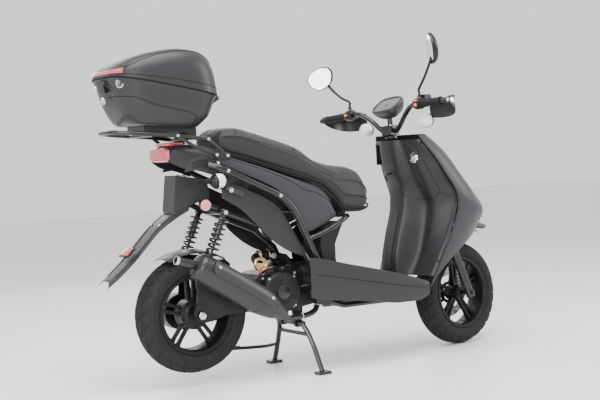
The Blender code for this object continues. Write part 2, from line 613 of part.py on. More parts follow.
AROUND = 20
rings = []
for k in range(8):
    outer = [shield_point(i / AROUND, k / 7, 0) for i in range(AROUND + 1)]
    inner = [shield_point(i / AROUND, k / 7, WALL) for i in range(AROUND + 1)]
    rings.append(outer + inner[::-1])
LAMP_OUT = Vector((math.cos(math.radians(36)), 0, math.sin(math.radians(36))))
LAMP_UP = Vector((-LAMP_OUT.z, 0, LAMP_OUT.x))
LAMP = Vector((1.412, 0, 0.700))


def lamp_box(ahead0, ahead1, up, half):
    corners = [(-up, -half), (up, -half), (up, half), (-up, half)]
    return stack([[LAMP + LAMP_OUT * a + LAMP_UP * u + ACROSS * y for u, y in corners] for a in (ahead0, ahead1)])


# The headlight sits in a recess whose box is part of the shell.
housing = lamp_box(-0.0361, -0.0033, 0.0533, 0.1187)
piece("front_shell", stack(rings), GREY, frame_body, join=[housing], cut=[lamp_box(-0.030, 0.10, 0.047, 0.112)])
DOME = [(0.041, GAP), (0.041, 0.022), (0.036, 0.029), (0.024, 0.034), (0.010, 0.036)]
left_lens, right_lens = (turned(DOME, LAMP + ACROSS * y - LAMP_OUT * 0.030, LAMP_OUT, 16) for y in (0.056, -0.056))
web = stack([[LAMP + LAMP_OUT * a + LAMP_UP * u + ACROSS * y for u, y in
              ((-0.015, -0.05), (0.015, -0.05), (0.015, 0.05), (-0.015, 0.05))] for a in (-0.0294, -0.016)])
piece("headlight_lens", left_lens, CLEAR, frame_body, join=[right_lens, web])

# The inner leg shield: for each height, how far back the hump, the wells and the edge lie.
HUMP_X = [(0.352, 0.992), (0.420, 0.996), (0.530, 1.020), (0.660, 1.054), (0.720, 1.056), (0.800, 1.034),
          (0.900, 1.014), (0.955, 1.010)]
WELL_X = [(0.352, 1.062), (0.450, 1.104), (0.560, 1.132), (0.660, 1.148), (0.720, 1.130), (0.800, 1.096),
          (0.900, 1.064), (0.955, 1.050)]
rings = []
for z in (0.352, 0.400, 0.460, 0.530, 0.600, 0.660, 0.700, 0.740, 0.800, 0.860, 0.910, 0.955):
    edge, hump, well = along(EDGE_X, z) - 0.003, along(HUMP_X, z), along(WELL_X, z)
    half = along(HALF_WIDTH, z) - 0.008
    outer = [(edge, half), (edge - 0.012, half * 0.92), (well, half * 0.66), (well - 0.012, half * 0.46),
             (hump + 0.010, 0.058), (hump, 0.036), (hump - 0.003, 0)]
    outer += [(x, -y) for x, y in reversed(outer[:-1])]
    inner = [(x + WALL * 1.3, y * 0.985) for x, y in reversed(outer)]
    rings.append([(x, y, z) for x, y in outer + inner])
pocket = block((1.053, 0.074, 0.846), (1.128, 0.134, 0.940))
pocket_space = block((1.000, 0.078, 0.850), (1.124, 0.130, 0.936))
lock_way = Vector((-0.86, -0.42, 0.28)).normalized()
lock_hole = rod(IGNITION - lock_way * 0.05, IGNITION + lock_way * 0.05, 0.0195, 16)
piece("leg_shield", stack(rings), BLACK, frame_body, join=[pocket], cut=[pocket_space, lock_hole])
lock_body = body("lock_body", IGNITION, frame_body)
LOCK = [(0.016, -0.030), (0.018, -0.028), (0.018, 0.008), (0.012, 0.010)]
slot_side, slot_up = across_axis(lock_way)
slot = stack([[IGNITION + lock_way * a + slot_side * s * 0.0012 + slot_up * u * 0.005
               for s, u in ((-1, -1), (1, -1), (1, 1), (-1, 1))] for a in (0.004, 0.02)])
piece("ignition_lock", turned(LOCK, IGNITION, lock_way, 20), STEEL, lock_body, cut=[slot])


# Seat, with its pan, and the bin under it.

SEAT_TOP = [(0.108, 1.010), (0.133, 1.038), (0.194, 1.043), (0.273, 1.023), (0.344, 1.000), (0.415, 0.975),
            (0.463, 0.956), (0.497, 0.938), (0.535, 0.908), (0.574, 0.887), (0.660, 0.865), (0.737, 0.855),
            (0.788, 0.836), (0.823, 0.799), (0.846, 0.756), (0.858, 0.722)]
SEAT_LOW = [(0.104, 0.950), (0.230, 0.911), (0.369, 0.863), (0.512, 0.814), (0.580, 0.784), (0.612, 0.755),
            (0.645, 0.722), (0.680, 0.674), (0.777, 0.662), (0.846, 0.678), (0.858, 0.694)]
SEAT_HALF = [(0.108, 0.112), (0.160, 0.122), (0.300, 0.138), (0.500, 0.155), (0.640, 0.156), (0.740, 0.140),
             (0.820, 0.106), (0.858, 0.066)]
SEAT_STATIONS = [0.108, 0.133, 0.194, 0.273, 0.344, 0.415, 0.463, 0.497, 0.535, 0.574, 0.612, 0.645, 0.680,
                 0.737, 0.788, 0.823, 0.846, 0.858]
SECTION = [(0.94, 0.0), (1.0, 0.30), (0.96, 0.66), (0.82, 0.90), (0.55, 0.985), (0.0, 1.0)]
rings = []
for x in SEAT_STATIONS:
    low, high, half = along(SEAT_LOW, x), along(SEAT_TOP, x), along(SEAT_HALF, x)
    right = [(x, -half * a, low + (high - low) * b) for a, b in SECTION]
    rings.append(right + [(x, -y, z) for x, y, z in reversed(right[:-1])])
piece("seat_cushion", stack(rings), VINYL, seat_body)

PAN_T = 0.006
rings = []
for x in SEAT_STATIONS[1:-1]:
    z, half = along(SEAT_LOW, x) - GAP * 3, along(SEAT_HALF, x) * 0.94 - 0.006
    depth = PAN_T * (1.9 if 0.57 < x < 0.69 else 1)
    rings.append([(x, -half, z), (x, half, z), (x, half, z - depth), (x, -half, z - depth)])
hinge_lug = block((0.722, -0.028, 0.634), (0.760, 0.028, 0.664))
hinge_pin = rod(SEAT_HINGE - ACROSS * 0.043, SEAT_HINGE + ACROSS * 0.043, 0.004, 10)
piece("seat_pan", stack(rings), BLACK, seat_body, join=[hinge_lug, hinge_pin])

bin_outline = [(0.235, 0.878), (0.240, 0.720), (0.300, 0.700), (0.480, 0.672), (0.545, 0.690), (0.560, 0.768)]
bin_space = [(0.239, 0.890), (0.244, 0.724), (0.302, 0.704), (0.480, 0.676), (0.541, 0.693), (0.557, 0.784)]
piece("storage_bin", plate(bin_outline, -0.104, 0.104), BLACK, frame_body, cut=[plate(bin_space, -0.100, 0.100)])


# Tail: cover, lamp, mudguard with the signals, rack.

TAIL = [(-0.097, 0.088, 0.914, 0.974), (-0.050, 0.100, 0.888, 0.986), (0.020, 0.112, 0.872, 0.984),
        (0.092, 0.126, 0.846, 0.964)]
rings = []
for x, half, low, high in TAIL:
    outer = [(-half, low), (-half, low + 0.55 * (high - low)), (-half * 0.8, high - 0.006), (0, high)]
    outer += [(-y, z) for y, z in reversed(outer[:-1])]
    inner = [(y * (1 - WALL / half), z - (WALL if z > low else 0)) for y, z in reversed(outer)]
    rings.append([(x, y, z) for y, z in outer + inner])
piece("tail_cover", stack(rings), BLACK, frame_body)
lamp = [(-0.1105, 0.078), (-0.104, 0.086), (-0.0975, 0.087)]
rings = [[(x, half * sy, 0.944 + h * sz) for sy, sz in ((-1, -1), (1, -1), (1, 1), (-1, 1))]
         for (x, half), h in zip(lamp, (0.022, 0.027, 0.0285))]
piece("tail_light", stack(rings), RED, frame_body)

GUARD_LINE = [(0.000, 0.742, 0.070), (-0.060, 0.712, 0.070), (-0.130, 0.668, 0.070), (-0.185, 0.615, 0.069),
              (-0.245, 0.555, 0.067), (-0.310, 0.500, 0.064), (-0.362, 0.460, 0.056)]
columns = []
for x, z, half in GUARD_LINE:
    columns.append([(x - 0.020 * abs(s) ** 3, half * s, z - 0.026 * abs(s) ** 3) for s in (-1, -0.7, 0, 0.7, 1)])
HANGER_PLATE = [(-0.060, 0.860), (0.080, 0.836), (0.088, 0.760), (-0.010, 0.734), (-0.072, 0.700), (-0.078, 0.720)]
bracket = plate(HANGER_PLATE, -0.052, 0.052)
stalks = [rod((0.055, -0.150, 0.828), (0.055, 0.150, 0.828), 0.009, 8)]
for sign in (1, -1):
    stalks.append(turned(POD, (0.036, 0.170 * sign, 0.826), (0.9, 0, 0.1), 12))
piece("rear_mudguard", sheet(columns, (0.0025, 0, WALL)), BLACK, frame_body, join=[bracket, *stalks])

RACK_R = 0.009
RACK = [(0.060, 0.120, 0.998), (-0.080, 0.120, 1.018), (-0.250, 0.112, 1.034), (-0.312, 0.080, 1.040)]
rail_line = smooth_path(RACK, 2)
rail_line = [Vector(p) for p in rail_line] + [Vector((-0.330, 0.040, 1.042))]
loop = [*rail_line, *[flip(p, -1) for p in reversed(rail_line)]]
stays = []
for x in (-0.180, 0.010):
    stays.append(rod((x, -0.120, 1.024 if x < 0 else 1.006), (x, 0.120, 1.024 if x < 0 else 1.006), 0.007, 8))
for sign in (1, -1):
    for path in ([(-0.077, 0.120, 1.018), (-0.004, 0.136, 0.970), (0.078, 0.146, 0.936)],
                 [(0.058, 0.120, 0.999), (0.086, 0.134, 0.972), (0.130, 0.148, 0.926)]):
        stays.append(tube([(x, y * sign, z) for x, y, z in path], 0.007, 6))
    plate_out = [(0.062, 0.936), (0.100, 0.950), (0.146, 0.934), (0.140, 0.916), (0.090, 0.918)]
    stays.append(plate(plate_out, 0.142 * sign, 0.148 * sign))
piece("luggage_rack", tube(loop, RACK_R, 8), STEEL_BLACK, frame_body, join=stays)


# Top case.


def case_floor(x):
    return 1.068 - 0.075 * (x + 0.262)


def seam(x):
    return 1.166 + 0.092 * (0.122 - x) / 0.457


CASE_MID = -0.106


def case_ring(level, half_x, half_y, centre_x=CASE_MID, lift=0.0):
    """A ring between the case's floor (level 0) and its seam (level 1)."""
    return oval((centre_x, 0), half_x, half_y, 3.6, 20,
                lambda x: case_floor(x) + (seam(x) - case_floor(x)) * level + lift)


outer = [case_ring(0, 0.148, 0.132, -0.112), case_ring(0.35, 0.188, 0.168), case_ring(0.93, 0.221, 0.192),
         case_ring(1, 0.2285, 0.199)]
inner = [case_ring(1, 0.2245, 0.195), case_ring(0.93, 0.217, 0.188), case_ring(0.35, 0.184, 0.164),
         case_ring(0, 0.144, 0.128, -0.112, WALL)]
base = stack([*outer, *inner])
FOOT = [(-0.200, 1.0316), (-0.020, 1.0316), (-0.002, 1.0136), (0.030, 1.0136), (0.030, 1.0485), (-0.200, 1.0645)]
PIN_EAR = [(0.097, 1.135), (0.120, 1.150), (0.1365, 1.160), (0.1365, 1.171), (0.1275, 1.171), (0.1255, 1.1655),
           (0.100, 1.158)]
base_parts = [plate(FOOT, -0.080, 0.080)]
for sign in (1, -1):
    base_parts.append(plate(PIN_EAR, 0.083 * sign, 0.096 * sign))
base_parts.append(rod(CASE_HINGE - ACROSS * 0.090, CASE_HINGE + ACROSS * 0.090, 0.004, 10))
LATCH_HINGE = Vector((-0.3345, 0, 1.2375))
LATCH_EAR = [(-0.312, 1.215), (-0.320, 1.244), (-0.339, 1.242), (-0.339, 1.233), (-0.326, 1.222)]
for sign in (1, -1):
    base_parts.append(plate(LATCH_EAR, 0.0235 * sign, 0.0290 * sign))
base_parts.append(rod(LATCH_HINGE - ACROSS * 0.026, LATCH_HINGE + ACROSS * 0.026, 0.0025, 8))
piece("case_base", base, BLACK, frame_body, join=base_parts)

latch_body = body("latch_body", LATCH_HINGE, frame_body)
LATCH = [(-0.3185, 1.198), (-0.3290, 1.240), (-0.3330, 1.2425), (-0.3370, 1.2415), (-0.3385, 1.236),
         (-0.3290, 1.196)]
latch_bore = rod(LATCH_HINGE - ACROSS * 0.03, LATCH_HINGE + ACROSS * 0.03, 0.0029, 8)
piece("case_latch", plate(LATCH, -0.0229, 0.0229), BLACK, latch_body, cut=[latch_bore])

LID_TOP = [(-0.3345, 1.300), (-0.226, 1.342), (-0.150, 1.358), (-0.072, 1.366), (0.017, 1.362), (0.080, 1.350),
           (0.1225, 1.330)]
SEAM_GAP = 0.0008


def lid_ring(scale, level, half_x, half_y):
    return oval((CASE_MID, 0), half_x * scale, half_y * scale, 3.6 - 1.1 * level, 20,
                lambda x: seam(x) + SEAM_GAP + (along(LID_TOP, x) - seam(x) - SEAM_GAP) * level)


LID = [(1.0, 0.0), (0.988, 0.45), (0.93, 0.76), (0.80, 0.93), (0.45, 1.0)]
inner = [lid_ring(scale * 0.995, level * 0.965, 0.2245, 0.195) for scale, level in reversed(LID)]
outer = [lid_ring(scale, level, 0.2285, 0.199) for scale, level in LID]
knuckle = sleeve(CASE_HINGE - ACROSS * 0.080, CASE_HINGE + ACROSS * 0.080, 0.0046, 0.0078, 12)
strip = block((0.1150, -0.080, 1.1705), (0.1290, 0.080, 1.1760))
piece("case_lid", stack([*inner, *outer]), GREY, lid_body, join=[knuckle, strip])


# Engine, belt case, exhaust and the shocks, which swing together about the pivot in the frame.

CASE_OUTLINE = [(0.270, 0.300), (0.290, 0.262), (0.440, 0.262), (0.470, 0.290), (0.470, 0.430), (0.440, 0.442),
                (0.295, 0.425), (0.270, 0.385)]
HANGER = [(0.420, 0.264), (0.545, 0.280), (0.560, 0.287), (0.566, 0.300), (0.560, 0.313), (0.545, 0.320),
          (0.420, 0.340)]
STAND_LUG = [(0.445, 0.275), (0.4525, 0.200), (0.460, 0.187), (0.480, 0.187), (0.4875, 0.200), (0.495, 0.280)]
RIGHT_ARM = [(0.300, 0.285), (0.300, 0.360), (0.155, 0.345), (0.148, 0.402), (0.096, 0.404), (0.090, 0.352),
             (0.055, 0.395), (0.040, 0.487), (0.004, 0.488), (-0.004, 0.440), (-0.012, 0.345), (-0.030, 0.300),
             (-0.012, 0.268), (0.030, 0.262), (0.120, 0.282)]
engine_parts = []
for sign in (1, -1):
    engine_parts.append(plate(HANGER, 0.050 * sign, 0.074 * sign))
    engine_parts.append(plate(STAND_LUG, 0.050 * sign, 0.065 * sign))
engine_parts.append(plate(RIGHT_ARM, -0.092, -0.076))
FINS = [(0.045, 0), (0.045, 0.030), (0.053, 0.031), (0.053, 0.038), (0.046, 0.039), (0.046, 0.048), (0.053, 0.049),
        (0.053, 0.056), (0.046, 0.057), (0.046, 0.066), (0.054, 0.067), (0.054, 0.130), (0.046, 0.140)]
engine_parts.append(turned(FINS, (0.445, 0, 0.397), (1, 0, 0.06), 12))
FAN = [(0.083, 0), (0.085, 0.038), (0.078, 0.046), (0.036, 0.049), (0.030, 0.046)]
engine_parts.append(turned(FAN, (CRANK.x, -0.0765, CRANK.z), -ACROSS, 22))
engine_parts.append(rod(REAR_AXLE - ACROSS * 0.102, REAR_AXLE + ACROSS * 0.086, AXLE_R, 16))
engine_parts.append(rod(REAR_AXLE - ACROSS * 0.104, REAR_AXLE - ACROSS * 0.078, 0.017, 6))
engine_parts.append(rod(SHOCK_BOTTOM - ACROSS * 0.126, SHOCK_BOTTOM - ACROSS * 0.080, 0.006, 10))
engine_parts.append(tube([(0.500, 0.020, 0.440), (0.470, 0.025, 0.478), (0.420, 0.030, 0.492)], 0.018, 10))
engine_parts.append(rod((0.425, 0.030, 0.490), (0.350, 0.030, 0.497), 0.027, 12))
engine_cuts = []
for sign in (1, -1):
    near, far = ACROSS * 0.04 * sign, ACROSS * 0.08 * sign
    engine_cuts.append(rod(SWING_PIVOT + near, SWING_PIVOT + far, PIVOT_R + RUN, 16))
    engine_cuts.append(rod(STAND_PIVOT + near, STAND_PIVOT + far, STAND_R + RUN, 16))
piece("engine", plate(CASE_OUTLINE, -0.078, 0.078), ALLOY, swing_body, join=engine_parts, cut=engine_cuts)

BELT_FRONT = (0.370, 0.345)
BELT_REAR = (0.0, 0.2925)
belt_outline = arc(BELT_FRONT, 0.085, -98, 82, 11) + arc(BELT_REAR, 0.075, 82, 262, 11)
AIR_BOX = [(0.085, 0.375), (0.240, 0.400), (0.245, 0.470), (0.220, 0.492), (0.100, 0.484), (0.080, 0.450)]
belt_parts = [plate(AIR_BOX, 0.099, 0.154)]
belt_parts.append(rod(CRANK + ACROSS * 0.0785, CRANK + ACROSS * 0.100, 0.060, 20))
belt_parts.append(plate([(-0.010, 0.345), (0.050, 0.355), (0.040, 0.486), (0.004, 0.488)], 0.0905, 0.098))
belt_parts.append(rod(SHOCK_BOTTOM + ACROSS * 0.092, SHOCK_BOTTOM + ACROSS * 0.126, 0.006, 10))
belt_parts.append(plate(arc(BELT_FRONT, 0.060, -98, 82, 9) + arc(BELT_REAR, 0.050, 82, 262, 9), 0.155, 0.1635))
# The hugger over the tyre hangs on the air box.
hugger = []
for angle in (58, 70, 82, 94, 106, 118):
    out = Vector((math.cos(math.radians(angle)), 0, math.sin(math.radians(angle))))
    ring = [REAR_AXLE + out * (0.262 - 0.012 * abs(s) ** 3) + ACROSS * 0.072 * s for s in (-1, -0.7, 0, 0.7, 1)]
    hugger.append(ring + [p + out * 0.003 for p in reversed(ring)])
belt_parts.append(stack(hugger))
belt_parts.append(plate([(0.110, 0.400), (0.150, 0.420), (0.140, 0.515), (0.100, 0.535)], 0.068, 0.102))
piece("belt_case", plate(belt_outline, 0.090, 0.158), ALLOY, swing_body, join=belt_parts)

KICK = [KICK_PIVOT + Vector(p) for p in ((0, 0.176, 0), (-0.110, 0.177, 0.045), (-0.200, 0.179, 0.070))]
kick_hub = rod(KICK_PIVOT + ACROSS * 0.1640, KICK_PIVOT + ACROSS * 0.184, 0.013, 14)
kick_pedal = rod(KICK[-1] - ACROSS * 0.004, KICK[-1] + ACROSS * 0.036, 0.009, 12)
piece("kick_lever", tube(KICK, 0.0065, 10), STEEL_BLACK, kick_body, join=[kick_hub, kick_pedal])

MUFFLER = [(0.040, 0), (0.054, 0.012), (0.058, 0.060), (0.060, 0.200), (0.057, 0.330), (0.044, 0.400),
           (0.024, 0.462)]
muffler_rear = Vector((-0.062, MUFFLER_Y, 0.510))
muffler_front = Vector((0.330, MUFFLER_Y, 0.267))
muffler_way = (muffler_front - muffler_rear).normalized()
HEADER = [(0.570, -0.020, 0.3425), (0.592, -0.022, 0.300), (0.580, -0.036, 0.254), (0.525, -0.072, 0.238),
          (0.440, -0.115, 0.238), (0.370, -0.155, 0.245), (0.325, MUFFLER_Y, 0.270)]
tail_start = muffler_rear + muffler_way * 0.02
tail_end = Vector((-0.150, MUFFLER_Y - 0.004, 0.535))
muffler_parts = [tube(smooth_path(HEADER, 2), 0.0125, 8), rod(tail_start, tail_end, 0.017, 16)]
muffler_parts.append(block((0.102, -0.160, 0.372), (0.142, -0.092 - GAP, 0.398)))
tail_bore = rod(tail_start + (tail_end - tail_start) * 0.45, tail_end + (tail_end - tail_start) * 0.1, 0.0145, 16)
piece("muffler", turned(MUFFLER, muffler_rear, muffler_way, 16), STEEL_BLACK, swing_body, join=muffler_parts,
      cut=[tail_bore])

SHOCK_LENGTH = (SHOCK_BOTTOM - SHOCK_TOP).length
SHOCK_DOWN = (SHOCK_BOTTOM - SHOCK_TOP).normalized()
EYE_R = 0.0135
EYE_BORE = 0.0072
SPRING_R = 0.0265
WIRE_R = 0.0042
TOP_SEAT = 0.034  # underside of the upper spring seat, along the shock from its top eye
LOW_SEAT = 0.172
TURNS = 6
for sign, side in ((1, "left"), (-1, "right")):
    top = SHOCK_TOP + ACROSS * SHOCK_Y * sign
    bottom = SHOCK_BOTTOM + ACROSS * SHOCK_Y * sign
    half = ACROSS * 0.011
    upper_body = body(f"shock_{side}_upper_body", top, frame_body)
    lower_body = body(f"shock_{side}_lower_body", bottom, upper_body)
    upper = [(0.012, 0.010), (0.012, 0.026), (0.029, 0.028), (0.029, TOP_SEAT), (0.013, TOP_SEAT + 0.001)]
    upper.append((0.013, 0.118))
    damper_bore = rod(top + SHOCK_DOWN * 0.024, top + SHOCK_DOWN * 0.125, 0.0058, 12)
    eye_bore = rod(top - ACROSS * 0.02, top + ACROSS * 0.02, EYE_BORE, 12)
    piece(f"shock_upper_{side}", turned(upper, top, SHOCK_DOWN, 16), STEEL_BLACK, upper_body,
          join=[rod(top - half, top + half, EYE_R, 14)], cut=[eye_bore, damper_bore])
    lower = [(0.0050, 0.076), (0.0050, LOW_SEAT - 0.002), (0.029, LOW_SEAT), (0.029, LOW_SEAT + 0.006),
             (0.0115, LOW_SEAT + 0.007), (0.0115, SHOCK_LENGTH - 0.010)]
    eye_bore = rod(bottom - ACROSS * 0.02, bottom + ACROSS * 0.02, EYE_BORE, 12)
    piece(f"shock_lower_{side}", turned(lower, top, SHOCK_DOWN, 16), STEEL_BLACK, lower_body,
          join=[rod(bottom - half, bottom + half, EYE_R, 14)], cut=[eye_bore])
    coil = []
    first, last = TOP_SEAT + WIRE_R + GAP, LOW_SEAT - WIRE_R - GAP - 0.0004
    side_way, other_way = across_axis(SHOCK_DOWN)
    for k in range(TURNS * 10 + 1):
        turn = 2 * math.pi * k / 10
        out = side_way * math.cos(turn) + other_way * math.sin(turn)
        coil.append(top + SHOCK_DOWN * (first + (last - first) * k / (TURNS * 10)) + out * (SPRING_R - WIRE_R))
    piece(f"shock_spring_{side}", tube(coil, WIRE_R, 5), STEEL_BLACK, upper_body)

LEG = [(0.470, 0.094, 0.205), (0.482, 0.118, 0.165), (0.490, 0.150, 0.105), (0.494, 0.196, 0.010)]
TANG = [(0.489, 0.158, 0.090), (0.455, 0.200, 0.078), (0.380, 0.212, 0.080), (0.292, 0.216, 0.086)]
stand_parts = []
for sign in (1, -1):
    stand_parts.append(tube([(x, y * sign, z) for x, y, z in smooth_path(LEG, 1)], 0.011, 8))
    inner, outer = sorted((0.180 * sign, 0.222 * sign))
    stand_parts.append(block((0.464, inner, 0), (0.524, outer, 0.012)))
stand_parts.append(rod((0.484, -0.125, 0.158), (0.484, 0.125, 0.158), 0.009, 10))
stand_parts.append(tube(smooth_path(TANG, 1), 0.0075, 8))
stand_parts.append(block((0.286, 0.202, 0.090), (0.326, 0.232, 0.096)))
stand_tube = rod(STAND_PIVOT - ACROSS * 0.104, STAND_PIVOT + ACROSS * 0.104, STAND_R, 16)
piece("centre_stand", stand_tube, STEEL_BLACK, stand_body, join=stand_parts)
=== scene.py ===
"""The petrol scooter's visible surfaces: bodywork, seat, top case, wheels, engine and fittings.

Shapes are written in the scooter's own coordinates: x forward from the rear axle, y to the left
and z up from the ground. Pieces on the front end are then turned with the handlebar.
"""

import json
import math

import bmesh
import bpy
from mathutils import Matrix, Vector

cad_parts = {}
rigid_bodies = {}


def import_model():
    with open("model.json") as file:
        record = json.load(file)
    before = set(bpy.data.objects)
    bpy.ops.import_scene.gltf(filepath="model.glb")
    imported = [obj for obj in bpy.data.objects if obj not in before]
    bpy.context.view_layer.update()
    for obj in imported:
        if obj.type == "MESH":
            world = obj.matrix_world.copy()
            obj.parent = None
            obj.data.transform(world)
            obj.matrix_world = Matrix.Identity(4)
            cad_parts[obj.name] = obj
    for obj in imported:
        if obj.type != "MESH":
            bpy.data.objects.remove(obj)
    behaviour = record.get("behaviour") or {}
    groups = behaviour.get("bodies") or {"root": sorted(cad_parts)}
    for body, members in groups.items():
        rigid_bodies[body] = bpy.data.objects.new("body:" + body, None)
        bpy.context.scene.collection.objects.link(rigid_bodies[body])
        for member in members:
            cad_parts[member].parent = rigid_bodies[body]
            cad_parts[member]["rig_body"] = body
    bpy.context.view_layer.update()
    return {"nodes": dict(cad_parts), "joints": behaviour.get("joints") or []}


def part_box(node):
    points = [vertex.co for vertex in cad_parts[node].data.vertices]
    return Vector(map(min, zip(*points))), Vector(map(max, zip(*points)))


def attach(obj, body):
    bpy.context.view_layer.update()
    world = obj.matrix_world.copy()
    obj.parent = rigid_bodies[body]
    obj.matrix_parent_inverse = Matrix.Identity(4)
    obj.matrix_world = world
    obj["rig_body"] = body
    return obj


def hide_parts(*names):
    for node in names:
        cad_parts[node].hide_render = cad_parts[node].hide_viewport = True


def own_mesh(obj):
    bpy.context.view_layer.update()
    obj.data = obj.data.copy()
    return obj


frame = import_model()

ACROSS = Vector((0, 1, 0))
FORWARD = Vector((1, 0, 0))
UP = Vector((0, 0, 1))


def node_middle(name):
    low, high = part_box(name)
    return (low + high) / 2


# Driving places, read from the frame, and sizes in metres.
JOINTS = {joint["name"]: joint for joint in frame["joints"]}
REAR_MIDDLE = node_middle("rear_tyre")
REAR_LOW, REAR_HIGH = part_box("rear_tyre")
GROUND = Vector((REAR_MIDDLE.x, 0, 0))  # under the rear axle
STEER_POINT = Vector(JOINTS["steering"]["pos_m"])
STEER_AXIS = Vector(JOINTS["steering"]["axis"])
STEER_REST = math.radians(10)
RAKE = math.radians(22)
FORK_OFFSET = 0.025
REAR_AXLE = Vector((0, 0, REAR_MIDDLE.z))
FRONT_AXLE = Vector((1.37, 0, 0.235))
REAR_TYRE_R = REAR_HIGH.z - REAR_MIDDLE.z
REAR_TYRE_W = REAR_HIGH.y - REAR_LOW.y
FRONT_TYRE_R = 0.235
FRONT_TYRE_W = 0.116
RIM_R = 0.165
BEAD = 0.80
WALL = 0.004

STRAIGHT = Matrix.Translation(GROUND)
TURN = Matrix.Translation(STEER_POINT) @ Matrix.Rotation(STEER_REST, 4, STEER_AXIS)
STEERED = TURN @ Matrix.Translation(GROUND - STEER_POINT)
FRONT_END = {"steering", "fork", "front_wheel", "throttle", "lever_left", "lever_right", "mirror_left",
             "mirror_right", "stop_switch", "start_button", "signal_switch"}
FORK_UP = Vector((-math.sin(RAKE), 0, math.cos(RAKE)))
FORK_AHEAD = Vector((math.cos(RAKE), 0, math.sin(RAKE)))


def fork(u, v=0.0, y=0.0):
    """A point u above the front axle along the fork, v ahead of it and y to the left."""
    return FRONT_AXLE + FORK_UP * u + FORK_AHEAD * v + ACROSS * y


def flip(point, sign):
    point = Vector(point)
    return Vector((point.x, point.y * sign, point.z))


# Curves.


def along(table, at):
    """A smooth value at a station of a table of (station, value) pairs, without overshoot."""
    if at <= table[0][0]:
        return table[0][1]
    if at >= table[-1][0]:
        return table[-1][1]
    slopes = [(b[1] - a[1]) / (b[0] - a[0]) for a, b in zip(table, table[1:])]
    tangents = [slopes[0]]
    for a, b in zip(slopes, slopes[1:]):
        tangents.append(0.0 if a * b <= 0 else 2 * a * b / (a + b))
    tangents.append(slopes[-1])
    for k, (a, b) in enumerate(zip(table, table[1:])):
        if at <= b[0]:
            width = b[0] - a[0]
            t = (at - a[0]) / width
            start = a[1] * (1 + 2 * t) * (1 - t) ** 2 + width * tangents[k] * t * (1 - t) ** 2
            return start + b[1] * t * t * (3 - 2 * t) + width * tangents[k + 1] * t * t * (t - 1)


def smooth_path(points, steps, closed=False):
    """A smooth curve through the points, with so many steps in each stretch."""
    points = [Vector(p) for p in points]
    if closed:
        ends = [points[-1], *points, points[0], points[1]]
    else:
        ends = [2 * points[0] - points[1], *points, 2 * points[-1] - points[-2]]
    path = []
    for a, b, c, d in zip(ends, ends[1:], ends[2:], ends[3:]):
        for k in range(steps):
            t = k / steps
            path.append(
                0.5 * (2 * b + (c - a) * t + (2 * a - 5 * b + 4 * c - d) * t**2 + (3 * b - a - 3 * c + d) * t**3)
            )
    return path if closed else [*path, points[-1]]


def stations(first, last, count):
    return [first + (last - first) * k / (count - 1) for k in range(count)]


def across_axis(axis):
    """Two directions square to an axis."""
    axis = Vector(axis).normalized()
    side = axis.cross(UP)
    if side.length < 0.1:
        side = axis.cross(FORWARD)
    side.normalize()
    return side, axis.cross(side).normalized()


# Shapes. Each returns a bmesh in the scooter's coordinates.


def stack(rings, loop=False):
    """Rings of points joined in order, with both ends capped, or joined end to end as a loop."""
    bm = bmesh.new()
    rows = [[bm.verts.new(p) for p in ring] for ring in rings]
    pairs = list(zip(rows, rows[1:]))
    if loop:
        pairs.append((rows[-1], rows[0]))
    count = len(rows[0])
    for low, high in pairs:
        for i in range(count):
            j = (i + 1) % count
            bm.faces.new((low[i], low[j], high[j], high[i]))
    if not loop:
        bm.faces.new(rows[0][::-1])
        bm.faces.new(rows[-1])
    bmesh.ops.recalc_face_normals(bm, faces=bm.faces)
    return bm


def circle(centre, axis, radius, sides):
    side, other = across_axis(axis)
    turn = [2 * math.pi * k / sides for k in range(sides)]
    return [Vector(centre) + radius * (math.cos(t) * side + math.sin(t) * other) for t in turn]


def turned(profile, centre, axis, sides=48, loop=False):
    """A turned piece: each (radius, distance along the axis) of the profile is a circle."""
    axis = Vector(axis).normalized()
    return stack([circle(Vector(centre) + axis * h, axis, r, sides) for r, h in profile], loop)


def rod(a, b, radius, sides=24, round_off=0.0):
    a, b = Vector(a), Vector(b)
    length = (b - a).length
    if not round_off:
        return turned([(radius, 0), (radius, length)], a, b - a, sides)
    soft = round_off * 0.3
    profile = [(radius - round_off, 0), (radius - soft, soft), (radius, round_off)]
    profile += [(r, length - h) for r, h in reversed(profile)]
    return turned(profile, a, b - a, sides)


def tube(path, radius, sides=16):
    """A round tube along a path; radius may be one number or one for each point."""
    path = [Vector(p) for p in path]
    radii = radius if isinstance(radius, list) else [radius] * len(path)
    ways = [(b - a).normalized() for a, b in zip(path, path[1:])]
    ways = [ways[0], *[(a + b).normalized() for a, b in zip(ways, ways[1:])], ways[-1]]
    side = across_axis(ways[0])[0]
    rings = []
    for point, way, thick in zip(path, ways, radii):
        side = (side - way * side.dot(way)).normalized()
        other = way.cross(side)
        turn = [2 * math.pi * k / sides for k in range(sides)]
        rings.append([point + thick * (math.cos(t) * side + math.sin(t) * other) for t in turn])
    return stack(rings)


def ring(centre, axis, radius, thick, sides=48):
    """A round ring of round section."""
    side, other = across_axis(axis)
    path = []
    axis = Vector(axis).normalized()
    for k in range(sides):
        out = side * math.cos(2 * math.pi * k / sides) + other * math.sin(2 * math.pi * k / sides)
        spot = Vector(centre) + out * radius
        turn = [2 * math.pi * i / 10 for i in range(10)]
        path.append([spot + thick * (math.cos(t) * out + math.sin(t) * axis) for t in turn])
    return stack(path, loop=True)


def block(low, high):
    (x0, y0, z0), (x1, y1, z1) = low, high
    return stack([[(x0, y0, z), (x1, y0, z), (x1, y1, z), (x0, y1, z)] for z in (z0, z1)])


def plate(outline, y0, y1):
    """An outline in x and z, cut from plate that lies between two values of y."""
    return stack([[(x, y, z) for x, z in outline] for y in (y0, y1)])


